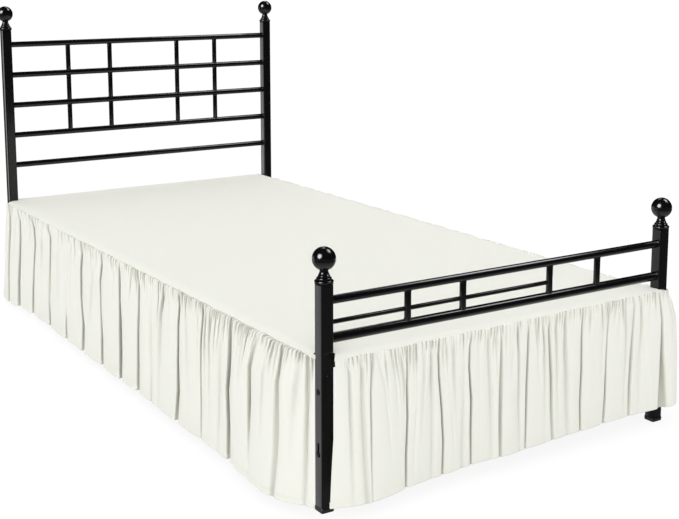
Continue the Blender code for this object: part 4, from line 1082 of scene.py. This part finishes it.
def build_deck():
    """The flat panel, a fine sheet over the slats."""
    outline, slot = deck_outline()
    step, rim_step = 9.0 * MM, 3.2 * MM
    outer = subdivided(outline, 3.0 * MM)
    inner = subdivided(slot, 4.0 * MM)
    xs = np.arange(-SEAM_X, SEAM_X + step, step)
    ys = np.arange(FOOT_LEFT.y, HEAD_EDGE_Y + step, step)
    grid = np.stack(np.meshgrid(xs, ys), axis=-1).reshape(-1, 2)
    grid = grid + np.array([(i * 37 % 11 - 5, i * 53 % 13 - 6) for i in range(len(grid))]) * 0.01 * MM
    fine = []
    for inset in (3.0, 6.5, 11.0, 16.0, 22.0):
        ys_fine = np.arange(LEFT_SEAM_FOOT, SIDE_SEAM_HEAD, rim_step)
        fine += [(-SEAM_X + inset * MM, y) for y in ys_fine]
        fine += [(SEAM_X - inset * MM, y) for y in ys_fine]
        fine += [(x, foot_seam_y(x) + inset * MM) for x in np.arange(FOOT_LEFT.x, SEAM_X, rim_step)]
    fine = np.array(fine)
    margin, clearance = 24.0 * MM, 1.6 * MM
    rim = np.minimum(SEAM_X - np.abs(grid[:, 0]), grid[:, 1] - foot_seam_y(grid[:, 0]))
    cloud = np.concatenate((fine, grid[rim > margin]))
    clear = inside_margin(cloud, outline, clearance) & inside_margin(cloud, slot, clearance)
    cloud = cloud[clear]
    loops = [list(range(len(outer))), list(range(len(outer), len(outer) + len(inner)))]
    points = [*outer, *inner, *(Vector(p) for p in cloud)]
    verts, _edges, faces, _ov, _oe, covers = delaunay_2d_cdt(points, [], loops, 1, 1e-7)
    plan = np.array([(v.x, v.y) for v in verts])
    x, y = plan[:, 0], plan[:, 1]
    height = deck_height(x, y) + deck_relief(x, y) + deck_puckers(x, y)
    kept = [list(face) for face, inside in zip(faces, covers) if list(inside) == [0]]
    mesh = bpy.data.meshes.new("deck_cloth")
    co = np.stack((x, y, height), axis=-1) + np.array(MIDDLE)
    mesh.from_pydata(co.tolist(), [], kept)
    bm = bmesh.new()
    bm.from_mesh(mesh)
    bmesh.ops.delete(bm, geom=[v for v in bm.verts if not v.link_faces], context="VERTS")
    bmesh.ops.recalc_face_normals(bm, faces=bm.faces)
    cut = bm.loops.layers.uv.new("cut")
    for face in bm.faces:
        for loop in face.loops:
            loop[cut].uv = (loop.vert.co.x, loop.vert.co.y)
    bm.to_mesh(mesh)
    bm.free()
    mesh.shade_smooth()
    return new_piece("deck_cloth", mesh, "ivory_cloth", "deck_panel")


# ---------------------------------------------------------------- the studio
def build_floor():
    """A wide pale floor under the bed."""
    half = 60.0  # metres
    mesh = bpy.data.meshes.new("floor")
    corners = [(-half, -half, 0), (half, -half, 0), (half, half, 0), (-half, half, 0)]
    mesh.from_pydata(corners, [], [(0, 1, 2, 3)])
    floor = placed("floor", mesh)
    mesh.materials.append(pale_floor())
    floor.visible_glossy = False


def lobe(tree, way, towards, wide, value):
    """A soft round patch of light in the sky, wide degrees across its radius."""
    dot = tree.nodes.new("ShaderNodeVectorMath")
    dot.operation = "DOT_PRODUCT"
    tree.links.new(way, dot.inputs[0])
    dot.inputs[1].default_value = Vector(towards).normalized()
    ramp = tree.nodes.new("ShaderNodeMapRange")
    ramp.interpolation_type = "SMOOTHSTEP"
    ramp.inputs["From Min"].default_value = math.cos(math.radians(wide * 1.25))
    ramp.inputs["From Max"].default_value = math.cos(math.radians(wide * 0.75))
    ramp.inputs["To Max"].default_value = value
    tree.links.new(dot.outputs["Value"], ramp.inputs["Value"])
    return ramp.outputs["Result"]


def by_height(tree, way, stops):
    """A grey that depends on how high a direction points. stops are (sine of the elevation, value)."""
    split = tree.nodes.new("ShaderNodeSeparateXYZ")
    tree.links.new(way, split.inputs[0])
    ramp = tree.nodes.new("ShaderNodeFloatCurve")
    curve = ramp.mapping.curves[0]
    top = max(value for _s, value in stops)
    while len(curve.points) < len(stops):
        curve.points.new(0.5, 0.5)
    for point, (sine, value) in zip(curve.points, stops):
        point.location = ((sine + 1) / 2, value / top)
    ramp.mapping.update()
    share = maths(tree, "ADD", maths(tree, "MULTIPLY", split.outputs["Z"], 0.5), 0.5)
    tree.links.new(share, ramp.inputs["Value"])
    return maths(tree, "MULTIPLY", ramp.outputs["Value"], top)


def build_world():
    """Plain white for the camera, a soft dome that lights cloth, and dim walls with lamps for gloss."""
    world = bpy.data.worlds.new("studio")
    bpy.context.scene.world = world
    world.use_nodes = True
    tree = world.node_tree
    tree.nodes.clear()
    way = tree.nodes.new("ShaderNodeTexCoord").outputs["Generated"]
    path = tree.nodes.new("ShaderNodeLightPath")
    dome = by_height(tree, way, ((-1.0, 0.84), (0.0, 0.86), (0.5, 0.92), (1.0, 1.07)))
    walls = ((-1.0, 0.8), (-0.6, 0.5), (-0.3, 0.14), (-0.15, 0.04), (0.0, 0.015), (1.0, 0.015))
    shine = by_height(tree, way, walls)
    for towards, wide, value in (
        ((-0.499, 0.864, -0.07), 9, 1.7),  # a pale wall behind on the left, in the posts' left faces
        ((-0.504, 0.807, -0.309), 11, 1.0),  # and its dimmer lower part
        ((-0.86, -0.16, 0.48), 18, 22.0),  # the main softbox, high on the left
        ((0.60, -0.17, 0.78), 11, 6.5),  # a long weaker one on the right, along the foot rails
        ((0.60, 0.05, 0.80), 11, 6.5),
        ((0.36, 0.60, 0.71), 8, 3.4),  # and one overhead, behind the bed
    ):
        shine = maths(tree, "ADD", shine, lobe(tree, way, towards, wide, value))
    lit = mix(tree, path.outputs["Is Glossy Ray"], dome, shine, "FLOAT")
    shown = mix(tree, path.outputs["Is Camera Ray"], lit, PLAIN_WHITE, "FLOAT")
    back = add_node(tree, "ShaderNodeBackground", Color=WHITE)
    tree.links.new(shown, back.inputs["Strength"])
    out = tree.nodes.new("ShaderNodeOutputWorld")
    tree.links.new(back.outputs[0], out.inputs["Surface"])


KEY_AWAY, KEY_SIZE, KEY_POWER = 24.0, 17.0, 1580.0  # metres, metres and watts
KEY_AIM = Vector((0.0, 0.0, 0.3))  # from the middle of the posts


def build_key():
    """The main softbox: a broad, gentle light from the front left."""
    light = bpy.data.lights.new("key", "AREA")
    light.shape = "DISK"
    light.size = KEY_SIZE
    light.energy = KEY_POWER
    key = placed("key", light)
    towards = Vector((-0.60, -0.54, 0.58)).normalized()
    key.location = MIDDLE + KEY_AIM + towards * KEY_AWAY
    key.rotation_euler = towards.to_track_quat("Z", "Y").to_euler()
    key.visible_glossy = False
    key.visible_camera = False


IMAGE_WIDTH = 679  # pixels of the photograph's frame
FOCAL = 1258.77  # focal length in those pixels
SENSOR = 36.0
CAMERA_PLACE = Vector((-1.8053, -3.0879, 1.1436))  # from the middle of the posts
CAMERA_YAW = math.radians(32.769)
CAMERA_PITCH = math.radians(9.339)
CAMERA_SHIFT = -95.06  # pixels that the picture is moved up by


def build_camera():
    """The camera stands off the front left corner, its picture shifted so that the posts lean little."""
    data = bpy.data.cameras.new("camera")
    camera = placed("camera", data)
    data.sensor_width = SENSOR
    data.lens = SENSOR * FOCAL / IMAGE_WIDTH
    data.shift_y = CAMERA_SHIFT / IMAGE_WIDTH
    data.clip_start = 0.05
    data.clip_end = 300.0
    camera.location = MIDDLE + CAMERA_PLACE
    camera.rotation_euler = (math.radians(90) - CAMERA_PITCH, 0.0, -CAMERA_YAW)
    bpy.context.scene.camera = camera


# ---------------------------------------------------------------- everything
build_boards()
build_posts()
socket_screw("socket_bolt_upper", "bolt_upper", "X", -1)
socket_screw("socket_bolt_lower", "bolt_lower", "X", -1)
socket_screw("socket_screw_front", "screw_front", "Y", -1)

deck = build_deck()
left = build_drop(
    "drop_left_cloth", "drop_left", LEFT_PATH, LEFT_FOLDS, LEFT_GATHERS, LEFT_HEM,
    seed=11, step=1.36 * MM, lean=-1.0, painted_shade=0.74,
)
foot = build_drop(
    "drop_foot_cloth", "drop_foot", FOOT_PATH, FOOT_FOLDS, FOOT_GATHERS, FOOT_HEM,
    seed=23, step=1.0 * MM, lean=0.3, painted_shade=0.85,
)
right = build_drop(
    "drop_right_cloth", "drop_right", RIGHT_PATH, RIGHT_FOLDS, RIGHT_GATHERS, RIGHT_HEM,
    seed=37, step=1.5 * MM, lean=0.8, painted_shade=0.8,
)

left.visible_glossy = False  # the post's face beside it reflects the studio instead

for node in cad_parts.values():
    if not node.hide_render:
        node.data.materials.clear()
        node.data.materials.append(PAINT)

build_floor()
build_world()
build_key()
build_camera()
bpy.context.scene.view_settings.view_transform = "Standard"
